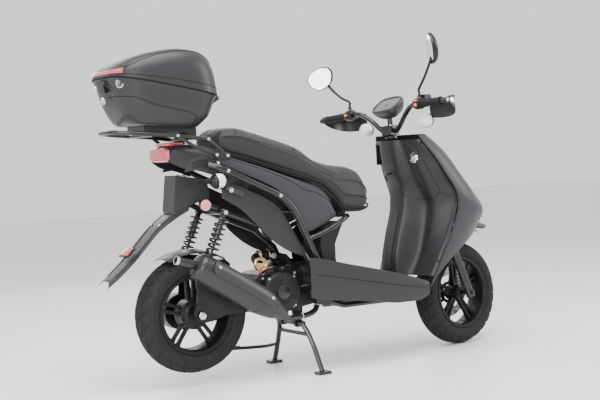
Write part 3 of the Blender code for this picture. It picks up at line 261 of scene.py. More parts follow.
def oval(centre, half_x, half_y, power, count, height):
    """A ring between an ellipse and a rectangle, whose heights follow from x."""
    line = []
    for k in range(count):
        t = 2 * math.pi * (k + 0.5) / count
        c, s = math.cos(t), math.sin(t)
        x = centre[0] + half_x * math.copysign(abs(c) ** (2 / power), c)
        y = centre[1] + half_y * math.copysign(abs(s) ** (2 / power), s)
        line.append(Vector((x, y, height(x))))
    return line


def sheet(columns, thick):
    """A sheet of even thickness from columns of points; thick is added to every point."""
    thick = Vector(thick)
    return stack([[Vector(p) for p in col] + [Vector(p) + thick for p in reversed(col)] for col in columns])


def bolt(place, way, size=0.005, high=0.004):
    """A button-head screw with its washer and a round recess."""
    place, way = Vector(place), Vector(way).normalized()
    washer = turned([(size * 1.25, -0.001), (size * 1.3, 0.0008), (size * 1.05, 0.0012), (size * 1.05, -0.001)],
                    place, way, 20)
    head = turned([(size, 0), (size * 0.98, high * 0.5), (size * 0.75, high * 0.92), (size * 0.45, high),
                   (size * 0.42, high * 0.4), (size * 0.02, high * 0.38)], place, way, 20)
    return [washer, head]


def hex_nut(place, way, size=0.007, high=0.006):
    place, way = Vector(place), Vector(way).normalized()
    return [turned([(size, 0), (size, high * 0.8), (size * 0.86, high)], place, way, 6),
            turned([(size * 0.5, high * 0.9), (size * 0.5, high * 1.6), (size * 0.4, high * 1.7)], place, way, 16)]


# Finishes.


class Value:
    """A socket of a finish's nodes. Arithmetic on it adds Math nodes."""

    def __init__(self, finish, socket):
        self.finish = finish
        self.socket = socket

    def maths(self, operation, first, second):
        return self.finish.node("ShaderNodeMath", {"operation": operation}, {0: first, 1: second})

    def __add__(self, other):
        return self.maths("ADD", self, other)

    def __radd__(self, other):
        return self.maths("ADD", other, self)

    def __sub__(self, other):
        return self.maths("SUBTRACT", self, other)

    def __rsub__(self, other):
        return self.maths("SUBTRACT", other, self)

    def __mul__(self, other):
        return self.maths("MULTIPLY", self, other)

    def __rmul__(self, other):
        return self.maths("MULTIPLY", other, self)

    def __pow__(self, other):
        return self.maths("POWER", self, other)


class Finish:
    """A material under construction, with the shader that its nodes feed."""

    def __init__(self, name, roughness=0.5, metallic=0.0, coat=0.0, coat_roughness=0.1, shine=0.5):
        self.material = bpy.data.materials.new(name)
        self.material.use_nodes = True
        self.nodes = self.material.node_tree.nodes
        self.links = self.material.node_tree.links
        self.shader = self.nodes["Principled BSDF"]
        self.shader.inputs["Roughness"].default_value = roughness
        self.shader.inputs["Metallic"].default_value = metallic
        self.shader.inputs["Specular IOR Level"].default_value = shine
        self.shader.inputs["Coat Weight"].default_value = coat
        self.shader.inputs["Coat Roughness"].default_value = coat_roughness
        self.place = self.node("ShaderNodeTexCoord", output="Object")

    def node(self, kind, settings=None, values=None, output=0):
        """Adds a node: its settings first, then the values or links of its sockets."""
        made = self.nodes.new(kind)
        for name, value in (settings or {}).items():
            if name == "stops":
                for element, (spot, colour) in zip(made.color_ramp.elements, value):
                    element.position = spot
                    element.color = (*colour, 1)
            else:
                setattr(made, name, value)
        for name, value in (values or {}).items():
            self.feed(made.inputs[name], value)
        return Value(self, made.outputs[output])

    def feed(self, socket, value):
        if isinstance(value, Value):
            self.links.new(value.socket, socket)
        elif isinstance(value, tuple) and len(value) == 3 and len(socket.default_value) == 4:
            socket.default_value = (*value, 1)
        else:
            socket.default_value = value

    def noise(self, scale, detail=2.0, stretch=None):
        place = self.place
        if stretch:
            place = self.node("ShaderNodeMapping", {}, {"Vector": self.place, "Scale": stretch})
        values = {"Vector": place, "Scale": scale, "Detail": detail}
        return self.node("ShaderNodeTexNoise", {}, values, output="Fac")

    def cells(self, scale, feature="F1", output="Distance"):
        values = {"Vector": self.place, "Scale": scale}
        return self.node("ShaderNodeTexVoronoi", {"feature": feature}, values, output=output)

    def spread(self, value, low, high, to_low=0.0, to_high=1.0):
        values = {0: value, 1: low, 2: high, 3: to_low, 4: to_high}
        return self.node("ShaderNodeMapRange", {"clamp": True}, values)

    def mix(self, factor, first, second):
        return self.node("ShaderNodeMix", {"data_type": "RGBA"}, {0: factor, 6: first, 7: second}, output=2)

    def colour(self, value):
        self.feed(self.shader.inputs["Base Color"], value)

    def rough(self, value):
        self.feed(self.shader.inputs["Roughness"], value)

    def bump(self, height, strength=0.2, distance=0.001):
        values = {"Strength": strength, "Distance": distance, "Height": height}
        self.feed(self.shader.inputs["Normal"], self.node("ShaderNodeBump", {}, values))


def tinted(colour, share):
    return tuple(min(1.0, c * share) for c in colour)


def moulded_plastic(name, colour, roughness, grain, grain_scale, dust=0.0):
    """Moulded plastic: a fine spark grain, faint flow marks and a little road dust in the pores."""
    made = Finish(name, roughness, shine=0.28)
    flow = made.noise(6.0, 3.0)
    scuffs = made.spread(made.noise(34.0, 5.0, (1.0, 1.0, 3.0)), 0.56, 0.72)
    base = made.mix(flow, tinted(colour, 0.90), tinted(colour, 1.10))
    base = made.mix(scuffs * (0.10 + dust), base, tinted(colour, 1.9))
    pores = made.cells(grain_scale)
    made.colour(made.mix(made.spread(pores, 0.0, 0.35) * 0.3, base, tinted(colour, 0.8)))
    made.rough(roughness - 0.05 + flow * 0.08 + scuffs * 0.08)
    made.bump(pores + made.noise(grain_scale * 1.7, 2.0) * 0.6, grain, 0.0003)
    return made.material


def painted_tube(name, colour, roughness):
    """Powder coat on steel: orange peel under a clear, glossy skin."""
    made = Finish(name, roughness, 0.0, coat=0.35, coat_roughness=0.08, shine=0.3)
    peel = made.noise(260.0, 2.0)
    worn = made.spread(made.noise(22.0, 6.0), 0.66, 0.78)
    made.colour(made.mix(worn * 0.25, made.mix(made.noise(9.0), colour, tinted(colour, 1.5)), (0.09, 0.09, 0.09)))
    made.rough(roughness + worn * 0.2 + peel * 0.06)
    made.bump(peel, 0.06, 0.0006)
    return made.material


def metal(name, colour, roughness, brushed=0.0, cast=0.0):
    """Bare or plated metal, with brushing along it or the skin of a casting."""
    made = Finish(name, roughness, 1.0)
    cloud = made.noise(14.0, 4.0)
    streaks = made.noise(180.0, 2.0, (0.15, 1.0, 1.0))
    made.colour(made.mix(cloud, tinted(colour, 0.82), tinted(colour, 1.1)))
    made.rough(roughness + cloud * 0.12 + streaks * brushed)
    skin = made.noise(520.0, 3.0) * cast + streaks * brushed
    made.bump(skin, 0.25, 0.0004)
    return made.material


def cast_engine(name, colour):
    """Painted castings: a sandy skin with oil in the pores and dust on it."""
    made = Finish(name, 0.45, 0.3, shine=0.3)
    sand = made.noise(700.0, 3.0)
    grime = made.spread(made.noise(26.0, 6.0), 0.42, 0.70)
    made.colour(made.mix(grime * 0.55, colour, tinted(colour, 0.45)))
    made.rough(0.36 + grime * 0.25)
    made.bump(sand, 0.30, 0.0004)
    return made.material


def tyre_rubber(name, colour):
    """Tyre rubber: matt, with a bloom of dust and fine moulding marks."""
    made = Finish(name, 0.72, shine=0.2)
    bloom = made.noise(18.0, 5.0)
    dust = made.spread(made.noise(60.0, 6.0), 0.50, 0.74)
    made.colour(made.mix(dust * 0.35, made.mix(bloom, tinted(colour, 0.8), tinted(colour, 1.2)), tinted(colour, 2.4)))
    made.rough(0.62 + bloom * 0.2)
    made.bump(made.noise(420.0, 4.0) + made.cells(240.0) * 0.4, 0.22, 0.0006)
    return made.material


def seat_vinyl(name, colour):
    """Seat vinyl: pebbled grain, with fine crease lines between the pebbles, darkened with painted shade."""
    made = Finish(name, 0.5, shine=0.25)
    pebbles = made.cells(620.0, "SMOOTH_F1")
    crease_lines_and_shade = made.cells(210.0, "DISTANCE_TO_EDGE")
    worn = made.noise(5.0, 4.0)
    base = made.mix(worn, tinted(colour, 0.86), tinted(colour, 1.16))
    # painted shade: the colour darkens to 0.7 of the vinyl along the crease lines that the bump sinks
    made.colour(made.mix(made.spread(crease_lines_and_shade, 0.0, 0.06), tinted(colour, 0.7), base))
    made.rough(0.42 + worn * 0.14 + pebbles * 0.1)
    made.bump(pebbles * -0.6 + made.spread(crease_lines_and_shade, 0.0, 0.10) * 0.5, 0.30, 0.0005)
    made.shader.inputs["Sheen Weight"].default_value = 0.12
    return made.material


def soft_rubber(name, colour):
    made = Finish(name, 0.62, shine=0.2)
    cloud = made.noise(30.0, 4.0)
    made.colour(made.mix(cloud, tinted(colour, 0.8), tinted(colour, 1.25)))
    made.rough(0.55 + cloud * 0.15)
    made.bump(made.noise(900.0, 2.0), 0.15, 0.0003)
    return made.material


def lens(name, colour, deep, ribs, glow=0.0):
    """A moulded lens: prisms behind a smooth glossy skin."""
    made = Finish(name, 0.12, 0.0, coat=1.0, coat_roughness=0.03)
    wave = made.node("ShaderNodeTexWave", {"bands_direction": "Z"},
                     {"Vector": made.place, "Scale": ribs, "Distortion": 0.0}, output="Fac")
    cross = made.node("ShaderNodeTexWave", {"bands_direction": "Y"},
                      {"Vector": made.place, "Scale": ribs, "Distortion": 0.0}, output="Fac")
    prism = wave * 0.5 + cross * 0.5
    made.colour(made.mix(made.spread(prism, 0.25, 0.8), deep, colour))
    made.rough(0.10 + made.noise(40.0) * 0.06)
    made.bump(prism, 0.25, 0.0012)
    # glow is emission: on the tail and brake lamp lenses it is the lamps' own light, on the reflectors it is painted
    # light
    if glow:
        made.shader.inputs["Emission Color"].default_value = (*colour, 1)
        made.shader.inputs["Emission Strength"].default_value = glow
    made.shader.inputs["Transmission Weight"].default_value = 0.0
    return made.material


def mirror_silver(name):
    made = Finish(name, 0.02, 1.0)
    haze = made.spread(made.noise(12.0, 5.0), 0.55, 0.8)
    made.colour(made.mix(haze * 0.2, (0.93, 0.94, 0.95), (0.80, 0.82, 0.84)))
    made.rough(0.015 + haze * 0.05)
    return made.material


GREY = moulded_plastic("satin charcoal bodywork", (0.0225, 0.0218, 0.0250), 0.38, 0.10, 900.0)
# painted light: a lighter copy of the charcoal bodywork grey, for the nose and upper side panels that catch the most
# light
GREY_PAINTED_LIT = moulded_plastic("satin charcoal painted lighter", (0.034, 0.033, 0.039), 0.36, 0.08, 900.0)
BLACK = moulded_plastic("grained black plastic", (0.0095, 0.0092, 0.0100), 0.46, 0.22, 640.0)
BLACK_SMOOTH = moulded_plastic("smooth black plastic", (0.0080, 0.0080, 0.0085), 0.32, 0.06, 900.0)
SHIELD_BLACK = moulded_plastic("inner shield plastic", (0.0135, 0.0130, 0.0145), 0.42, 0.16, 760.0)
CASE_GREY = moulded_plastic("top case plastic", (0.0215, 0.0208, 0.0238), 0.34, 0.10, 760.0)
TUBE_BLACK = painted_tube("gloss black tube", (0.0050, 0.0050, 0.0055), 0.18)
STEEL_BLACK = painted_tube("satin black steel", (0.0075, 0.0074, 0.0078), 0.34)
EXHAUST = painted_tube("exhaust black", (0.0085, 0.0083, 0.0088), 0.42)
HEAT_SHIELD = moulded_plastic("heat shield", (0.030, 0.0295, 0.032), 0.32, 0.10, 500.0)
STEEL = metal("bright zinc", (0.66, 0.66, 0.68), 0.22, brushed=0.10)
CHROME = metal("chrome", (0.82, 0.82, 0.84), 0.08)
DISC_STEEL = metal("brake disc steel", (0.50, 0.50, 0.52), 0.30, brushed=0.25)
BRASS = metal("brass", (0.72, 0.55, 0.26), 0.24, brushed=0.08)
ENGINE = cast_engine("engine casting", (0.0170, 0.0168, 0.0175))
WHEEL_BLACK = cast_engine("wheel enamel", (0.0080, 0.0080, 0.0085))
TYRE = tyre_rubber("tyre rubber", (0.0120, 0.0118, 0.0122))
VINYL = seat_vinyl("seat vinyl", (0.0165, 0.0160, 0.0178))
RUBBER = soft_rubber("grip rubber", (0.0085, 0.0085, 0.0088))
HOSE = soft_rubber("hose rubber", (0.0070, 0.0070, 0.0072))
GROOVE = soft_rubber("seam shadow", (0.0030, 0.0030, 0.0030))
RED = lens("red tail lens", (0.56, 0.06, 0.08), (0.34, 0.015, 0.03), 38.0, 0.06)
# painted light: the rear and lid reflectors emit a faint red glow though they are no lamps
REFLECTOR_PAINTED_GLOW = lens("red reflector with painted glow", (0.50, 0.07, 0.09), (0.34, 0.02, 0.04), 90.0, 0.05)
# painted light: the side reflectors emit a faint pink glow though they are no lamps
SIDE_REFLECTOR_PAINTED_GLOW = lens("side reflector with painted glow", (0.72, 0.26, 0.34), (0.62, 0.18, 0.26), 90.0, 0.06)
CLEAR = lens("clear lens", (0.86, 0.87, 0.88), (0.66, 0.67, 0.70), 60.0)
RED_KNOB = moulded_plastic("red knob", (0.72, 0.06, 0.10), 0.30, 0.05, 900.0)
ORANGE_KNOB = moulded_plastic("orange knob", (0.85, 0.34, 0.03), 0.30, 0.05, 900.0)
GLASS_DARK = lens("dark dial glass", (0.020, 0.024, 0.028), (0.012, 0.013, 0.016), 6.0)
MIRROR = mirror_silver("mirror silver")
DIAL_WHITE = moulded_plastic("dial marks", (0.75, 0.75, 0.75), 0.5, 0.02, 900.0)
RED_WIRE = soft_rubber("red wire", (0.45, 0.03, 0.04))


# Putting a piece in the scene.


def set_shading(mesh, angle):
    mesh.shade_smooth()
    mesh.set_sharp_from_angle(angle=math.radians(angle))


def soften(obj, width, segments=2, angle=32):
    change = obj.modifiers.new("soft edges", "BEVEL")
    change.width = width
    change.segments = segments
    change.limit_method = "ANGLE"
    change.angle_limit = math.radians(angle)
    change.harden_normals = False
    return change


def show(name, shapes, finish, body, bevel=0.0, subdivide=0, replaces=(), join=(), cut=(), angle=40):
    """A visible piece of one or more shapes; join and cut are shapes added to it or taken away."""
    place = STEERED if body in FRONT_END else STRAIGHT

    def mesh_of(parts, title):
        whole = bmesh.new()
        for part in parts:
            part.transform(place)
            held = bpy.data.meshes.new("held")
            part.to_mesh(held)
            part.free()
            whole.from_mesh(held)
            bpy.data.meshes.remove(held)
        made_mesh = bpy.data.meshes.new(title)
        whole.to_mesh(made_mesh)
        whole.free()
        return made_mesh

    mesh = mesh_of(shapes if isinstance(shapes, list) else [shapes], name)
    mesh.materials.append(finish)
    made = bpy.data.objects.new(name, mesh)
    bpy.context.scene.collection.objects.link(made)
    for operation, tools in (("UNION", join), ("DIFFERENCE", cut)):
        for tool in tools:
            helper = bpy.data.objects.new("helper", mesh_of([tool], "helper"))
            bpy.context.scene.collection.objects.link(helper)
            change = made.modifiers.new("shape", "BOOLEAN")
            change.operation = operation
            change.object = helper
            apply_changes(made)
            bpy.data.objects.remove(helper)
    if subdivide:
        change = made.modifiers.new("round", "SUBSURF")
        change.levels = subdivide
        change.render_levels = subdivide
    if bevel:
        soften(made, bevel)
    set_shading(made.data, angle)
    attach(made, body)
    if replaces:
        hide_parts(*([replaces] if isinstance(replaces, str) else replaces))
    return made


def apply_changes(obj):
    """The evaluated mesh becomes the object's own, and its modifiers go."""
    bpy.context.view_layer.update()
    graph = bpy.context.evaluated_depsgraph_get()
    made = bpy.data.meshes.new_from_object(obj.evaluated_get(graph))
    old = obj.data
    obj.modifiers.clear()
    obj.data = made
    if old.users == 0:
        bpy.data.meshes.remove(old)


def refine(node, finish, bevel=0.0008, angle=38):
    """A CAD piece with its edges rounded and its curves shaded smooth, in its place."""
    source = frame["nodes"][node]
    bm = bmesh.new()
    bm.from_mesh(source.data)
    bmesh.ops.remove_doubles(bm, verts=bm.verts, dist=0.00002)
    bmesh.ops.dissolve_limit(bm, angle_limit=math.radians(1.0), verts=bm.verts, edges=bm.edges)
    mesh = bpy.data.meshes.new(node + "_surface")
    bm.to_mesh(mesh)
    bm.free()
    mesh.materials.append(finish)
    made = bpy.data.objects.new(node + "_surface", mesh)
    bpy.context.scene.collection.objects.link(made)
    if bevel:
        soften(made, bevel)
    set_shading(mesh, angle)
    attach(made, source["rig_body"])
    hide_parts(node)
    return made


# Camera, lights and floor.


def make_camera():
    """Level eye line with the rear quarter of the scooter, from its right side."""
    around, above, lean = -0.549060, 0.0426286, -0.0527713
    back = Vector((math.sin(around) * math.cos(above), -math.cos(around) * math.cos(above), math.sin(above)))
    right = UP.cross(back).normalized()
    up = back.cross(right)
    right, up = right * math.cos(lean) + up * math.sin(lean), up * math.cos(lean) - right * math.sin(lean)
    camera = bpy.data.objects.new("camera", bpy.data.cameras.new("camera"))
    camera.data.lens = 74.56
    camera.data.sensor_width = 36
    turn = Matrix((right, up, back)).transposed().to_4x4()
    camera.matrix_world = Matrix.Translation(Vector((-2.8487, -4.5528, 0.9480))) @ turn
    bpy.context.scene.collection.objects.link(camera)
    bpy.context.scene.camera = camera


def soft_light(name, place, aim, size, power, tint=(1, 1, 1)):
    lamp = bpy.data.lights.new(name, "AREA")
    lamp.shape = "RECTANGLE"
    lamp.size, lamp.size_y = size
    lamp.energy = power
    lamp.color = tint
    made = bpy.data.objects.new(name, lamp)
    made.location = place
    made.rotation_euler = (Vector(aim) - Vector(place)).to_track_quat("-Z", "Y").to_euler()
    bpy.context.scene.collection.objects.link(made)


def make_studio():
    world = bpy.data.worlds.new("white studio")
    world.use_nodes = True
    world.node_tree.nodes["Background"].inputs["Color"].default_value = (0.97, 0.96, 0.945, 1)
    world.node_tree.nodes["Background"].inputs["Strength"].default_value = 1.25
    bpy.context.scene.world = world
    soft_light("long top light", (-0.6, -1.0, 3.6), (0, 0, 0.6), (3.6, 2.2), 230)
    soft_light("side light", (-3.4, -3.2, 1.9), (0.1, 0, 0.7), (2.2, 2.0), 170)
    soft_light("rear light", (-6.5, 0.2, 1.2), (-0.3, 0, 0.8), (3.0, 2.4), 90)
    soft_light("front light", (3.6, -1.6, 2.2), (0.4, 0, 0.7), (1.8, 2.2), 70)
    soft_light("far light", (0.6, 3.8, 2.4), (0, 0, 0.7), (3.0, 2.0), 60)
    floor = bpy.data.meshes.new("floor")
    bm = bmesh.new()
    bmesh.ops.create_grid(bm, x_segments=2, y_segments=2, size=14)
    bm.to_mesh(floor)
    bm.free()
    paint = Finish("pale floor", 0.35)
    planks = paint.noise(2.0, 3.0, (1.0, 0.06, 1.0))
    paint.colour(paint.mix(planks, (0.80, 0.79, 0.775), (0.86, 0.85, 0.84)))
    paint.rough(0.30 + planks * 0.12)
    paint.bump(paint.noise(60.0, 3.0, (1.0, 0.05, 1.0)), 0.05, 0.002)
    floor.materials.append(paint.material)
    made = bpy.data.objects.new("floor", floor)
    made.location.z = -0.0006
    bpy.context.scene.collection.objects.link(made)


make_camera()
make_studio()


# Wheels.

TREAD_PITCHES = {"front": 26, "rear": 22}


def tread_depth(turn, across, pitches, curved):
    """How far a point of the tread lies below its top: blocks between slanted and ring grooves."""
    side = 1 if across > 0 else -1
    reach = abs(across)
    slant = 0.62 * reach + (0.28 * reach * reach if curved else 0.0)
    phase = (turn * pitches / (2 * math.pi) + slant + (0.5 if side > 0 else 0.0)) % 1.0
    width = 0.20 if reach > 0.30 else 0.13
    slot_mask = 1.0 if phase < width else 0.0
    zigzag = 0.05 * math.sin(turn * pitches)
    ring_mask = 1.0 if abs(reach - 0.48 - zigzag) < 0.045 else 0.0
    middle_mask = 1.0 if abs(across - 0.5 * zigzag) < 0.035 else 0.0
    shoulder = 1.0 if reach < 0.99 else 0.0
    return 0.0052 * max(slot_mask, ring_mask, middle_mask) * shoulder


def tyre(wheel, body, centre, outer, width):
    """A tyre with cut tread blocks, raised rings on its walls and a hollow inside."""
    half = width / 2
    bead = 0.1540
    right = [(outer, 0), (outer - 0.0012, 0.25), (outer - 0.004, 0.45), (outer - 0.0095, 0.64),
             (outer - 0.0170, 0.82), (outer - 0.0270, 0.94), (outer - 0.040, 1.0), (outer - 0.056, 0.975),
             (0.1700, 0.90), (0.1655, 0.815)]
    crown = smooth_path([(r, h * half, 0) for r, h in right], 4)
    profile = [(p.x, p.y) for p in crown]
    wall_rings = (outer - 0.046, 0.1760, 0.1825)
    shaped = []
    for r, h in profile:
        swell = sum(0.0011 * math.exp(-(((r - at) / 0.0016) ** 2)) for at in wall_rings)
        shaped.append((r, h + swell))
    inside = [(bead, BEAD * half), (bead, BEAD * half - 0.012), (outer - 0.042, half - 0.014),
              (outer - 0.022, 0.5 * half), (outer - 0.018, 0)]
    one_side = shaped + inside
    section = one_side + [(r, -h) for r, h in reversed(one_side[1:-1])]
    pitches = TREAD_PITCHES[wheel]
    steps = pitches * 16
    rings = []
    for k in range(steps):
        turn = 2 * math.pi * k / steps
        out = Vector((math.cos(turn), 0, math.sin(turn)))
        points = []
        for r, h in section:
            cut = 0.0
            if r > outer - 0.0275:
                cut = tread_depth(turn, h / (0.95 * half), pitches, wheel == "rear")
            elif r > outer - 0.040 and abs(h) > 0.9 * half:
                cut = 0.5 * tread_depth(turn, 0.98 * (1 if h > 0 else -1), pitches, wheel == "rear")
            points.append(centre + out * (r - cut) + ACROSS * h)
        rings.append(points)
    show(f"{wheel}_tyre_tread", stack(rings, loop=True), TYRE, body, replaces=f"{wheel}_tyre", angle=28)


def rim(wheel, body, centre, width, hub_r, hub_half):
    """A cast wheel: rim with rolled lips, five twin spokes, hub and valve."""
    flange = BEAD * width / 2 + 0.0004
    lip = [(RIM_R - 0.001, flange), (RIM_R, flange + 0.002), (RIM_R - 0.001, flange + 0.0048),
           (RIM_R - 0.004, flange + 0.005), (0.156, flange + 0.0035), (0.151, flange + 0.0035),
           (0.1475, flange - 0.001), (0.1445, flange - 0.010), (0.143, flange - 0.020)]
    back = [(r, -h) for r, h in reversed(lip)]
    seats = [(0.1530, -flange), (0.1530, -flange + 0.010), (0.1500, 0.016 - flange), (0.1500, flange - 0.016),
             (0.1530, flange - 0.010), (0.1530, flange)]
    shapes = [turned(lip + [(0.1425, 0)] + back + seats, centre, ACROSS, 120, loop=True)]
    hub = [(0.0092, hub_half), (hub_r * 0.62, hub_half), (hub_r * 0.70, hub_half - 0.004), (hub_r, hub_half - 0.008),
           (hub_r * 1.02, 0), (hub_r, 0.008 - hub_half), (hub_r * 0.70, 0.004 - hub_half),
           (hub_r * 0.62, -hub_half), (0.0092, -hub_half)]
    shapes.append(turned(hub, centre, ACROSS, 48, loop=True))
    for k in range(5):
        for lean in (-6, 6):
            angle = math.radians(72 * k + 18 + lean)
            root = math.radians(72 * k + 18 + 2.2 * lean)
            start = centre + Vector((math.cos(root), 0, math.sin(root))) * (hub_r - 0.006)
            end = centre + Vector((math.cos(angle), 0, math.sin(angle))) * 0.1455
            run = (end - start).normalized()
            rings = []
            for t in stations(0, 1, 7):
                flare = 1 + 0.45 * (2 * t - 1) ** 4
                side = run.cross(ACROSS) * 0.0068 * flare
                deep = ACROSS * 0.0105 * flare
                middle = start.lerp(end, t)
                section = [(1, 0.72), (0.72, 1), (-0.72, 1), (-1, 0.72), (-1, -0.72), (-0.72, -1), (0.72, -1),
                           (1, -0.72)]
                rings.append([middle + side * a + deep * b for a, b in section])
            shapes.append(stack(rings))
    for k in range(5):
        angle = math.radians(72 * k + 54)
        spot = centre + Vector((math.cos(angle), 0, math.sin(angle))) * (hub_r * 0.84)
        shapes += bolt(spot - ACROSS * (hub_half - 0.006), -ACROSS, 0.0045)
    show(f"{wheel}_wheel_casting", shapes, WHEEL_BLACK, body, bevel=0.0006, replaces=f"{wheel}_rim")
    way = Vector((math.cos(math.radians(54)), 0, math.sin(math.radians(54))))
    stem = [centre + way * 0.1435 - ACROSS * 0.012, centre + way * 0.126 - ACROSS * 0.018]
    show(f"{wheel}_valve", [tube(stem, 0.0035, 12), rod(stem[1], stem[1] + (stem[1] - stem[0]) * 0.35, 0.0042, 14)],
         RUBBER, body)


def front_disc():
    """The slotted brake ring on its dark carrier, with the carrier's bolts."""
    middle = FRONT_AXLE + ACROSS * 0.0425
    half = ACROSS * 0.002
    holes = []
    for row, radius in enumerate((0.0865, 0.0945, 0.1025)):
        for k in range(15):
            turn = 2 * math.pi * (k + row / 3) / 15
            spot = middle + Vector((math.cos(turn), 0, math.sin(turn))) * radius
            holes.append(rod(spot - half * 2, spot + half * 2, 0.0032, 10))
    cutter = bmesh.new()
    for hole in holes:
        held = bpy.data.meshes.new("held")
        hole.to_mesh(held)
        hole.free()
        cutter.from_mesh(held)
        bpy.data.meshes.remove(held)
    blank = turned([(0.078, -0.002), (0.112, -0.002), (0.112, 0.002), (0.078, 0.002)], middle, ACROSS, 96, loop=True)
    show("front_disc_ring", blank, DISC_STEEL, "front_wheel", cut=[cutter], replaces="front_brake_disc")
    arms = [turned([(0.0352, -0.0018), (0.050, -0.0018), (0.050, 0.0018), (0.0352, 0.0018)], middle, ACROSS, 48,
                   loop=True)]
    bolts = []
    for k in range(5):
        way = Vector((math.cos(math.radians(72 * k)), 0, math.sin(math.radians(72 * k))))
        side = way.cross(ACROSS)
        arms.append(stack([[middle + way * r + side * w - half * 0.9, middle + way * r - side * w - half * 0.9,
                            middle + way * r - side * w + half * 0.9, middle + way * r + side * w + half * 0.9]
                           for r, w in ((0.046, 0.010), (0.062, 0.0065), (0.082, 0.009))]))
        bolts += bolt(middle + way * 0.0425 + half, ACROSS, 0.004)
        bolts += bolt(middle + way * 0.0810 + half, ACROSS, 0.0045, 0.003)
    show("front_disc_carrier", arms, WHEEL_BLACK, "front_wheel", bevel=0.0005)
    show("front_disc_bolts", bolts, STEEL, "front_wheel")


tyre("front", "front_wheel", FRONT_AXLE, FRONT_TYRE_R, FRONT_TYRE_W)
tyre("rear", "rear_wheel", REAR_AXLE, REAR_TYRE_R, REAR_TYRE_W)
rim("front", "front_wheel", FRONT_AXLE, FRONT_TYRE_W, 0.034, 0.045)
rim("rear", "rear_wheel", REAR_AXLE, REAR_TYRE_W, 0.062, 0.040)
front_disc()


# Bodywork.

EDGE_X = [(0.300, 1.070), (0.374, 1.104), (0.460, 1.142), (0.560, 1.186), (0.675, 1.215), (0.720, 1.206),
          (0.790, 1.168), (0.870, 1.128), (0.950, 1.084), (0.978, 1.074)]
HALF_WIDTH = [(0.300, 0.205), (0.420, 0.222), (0.550, 0.240), (0.676, 0.250), (0.800, 0.232), (0.900, 0.200),
              (0.978, 0.160)]
NOSE_X = [(0.300, 1.260), (0.420, 1.370), (0.545, 1.440), (0.575, 1.462), (0.625, 1.480), (0.680, 1.428),
          (0.734, 1.388), (0.806, 1.334), (0.882, 1.280), (0.935, 1.226), (0.978, 1.172)]
SHIELD_BOTTOM = 0.300
NOSE_BOTTOM = 0.578
SHIELD_TOP = 0.978
LAMP_OUT = Vector((math.cos(math.radians(36)), 0, math.sin(math.radians(36))))
LAMP_UP = Vector((-LAMP_OUT.z, 0, LAMP_OUT.x))
LAMP = Vector((1.412, 0, 0.700))


def shield_point(t, level, inset=0.0):
    """A point of the front shell: t runs from its right edge round the nose to its left edge."""
    angle = math.pi * t
    ahead = math.sin(angle)
    bottom = SHIELD_BOTTOM + (NOSE_BOTTOM - SHIELD_BOTTOM) * ahead**0.5
    z = bottom + (SHIELD_TOP - bottom) * level
    edge = along(EDGE_X, z)
    reach = along(NOSE_X, z) - edge - inset
    half = along(HALF_WIDTH, z) - inset
    return Vector((edge + reach * ahead**0.85, -half * math.cos(angle), z))


def lamp_box(ahead0, ahead1, up, half):
    corners = [(-up, -half), (up, -half), (up, half), (-up, half)]
    return stack([[LAMP + LAMP_OUT * a + LAMP_UP * u + ACROSS * y for u, y in corners] for a in (ahead0, ahead1)])


def groove(name, path, body="frame", radius=0.0011, closed=False):
    """A fine dark joint line laid along a surface."""
    line = smooth_path(path, 6, closed)
    if closed:
        line.append(line[0])
    return show(name, tube(line, radius, 8), GROOVE, body)


def front_shell():
    """The nose: one thin shell with the twin lamp's recess, its brow, its beak and side lines."""
    around = [k / 72 for k in range(73)]
    rings = []
    for level in stations(0, 1, 40):
        outer = [shield_point(t, level) for t in around]
        inner = [shield_point(t, level, WALL) for t in around]
        rings.append(outer + inner[::-1])
    show("nose_shell", stack(rings), GREY_PAINTED_LIT, "frame", bevel=0.0012, replaces="front_shell",
         join=[lamp_box(-0.0361, -0.0033, 0.0533, 0.1187)], cut=[lamp_box(-0.030, 0.10, 0.047, 0.112)], angle=42)
    brow = []
    for y in stations(-0.122, 0.122, 17):
        share = y / 0.122
        edge = LAMP + LAMP_UP * (0.050 - 0.012 * share * share) + ACROSS * y
        root = edge - LAMP_OUT * 0.020
        tip = edge + LAMP_OUT * (0.020 - 0.026 * share * share)
        brow.append([root, tip, tip + LAMP_UP * 0.0035, root + LAMP_UP * 0.006])
    show("lamp_brow", stack(brow), BLACK_SMOOTH, "frame", bevel=0.0012)
    beak = []
    for y in stations(-1, 1, 17):
        width = 0.105
        tip = Vector((1.548 - 0.080 * y * y, width * y, 0.540 - 0.010 * y * y))
        root = Vector((1.400 - 0.060 * y * y, width * y * 1.1, 0.578 - 0.012 * y * y))
        beak.append([root, root.lerp(tip, 0.5) + UP * 0.006, tip, tip - UP * 0.004, root - UP * 0.020])
    show("nose_beak", stack(beak), GREY, "frame", bevel=0.0015)
    for sign, side in ((1, "left"), (-1, "right")):
        line = []
        for level in stations(0.10, 0.97, 12):
            t = 0.20 + 0.10 * math.sin(math.pi * level)
            line.append(flip(shield_point(t, level), -sign))
        groove(f"nose_line_{side}", line, radius=0.0013)
        edge = [flip(shield_point(0.004, level), -sign) for level in stations(0.02, 0.98, 16)]
        show(f"shield_edge_{side}", tube(smooth_path(edge, 4), 0.0036, 12), GREY, "frame")


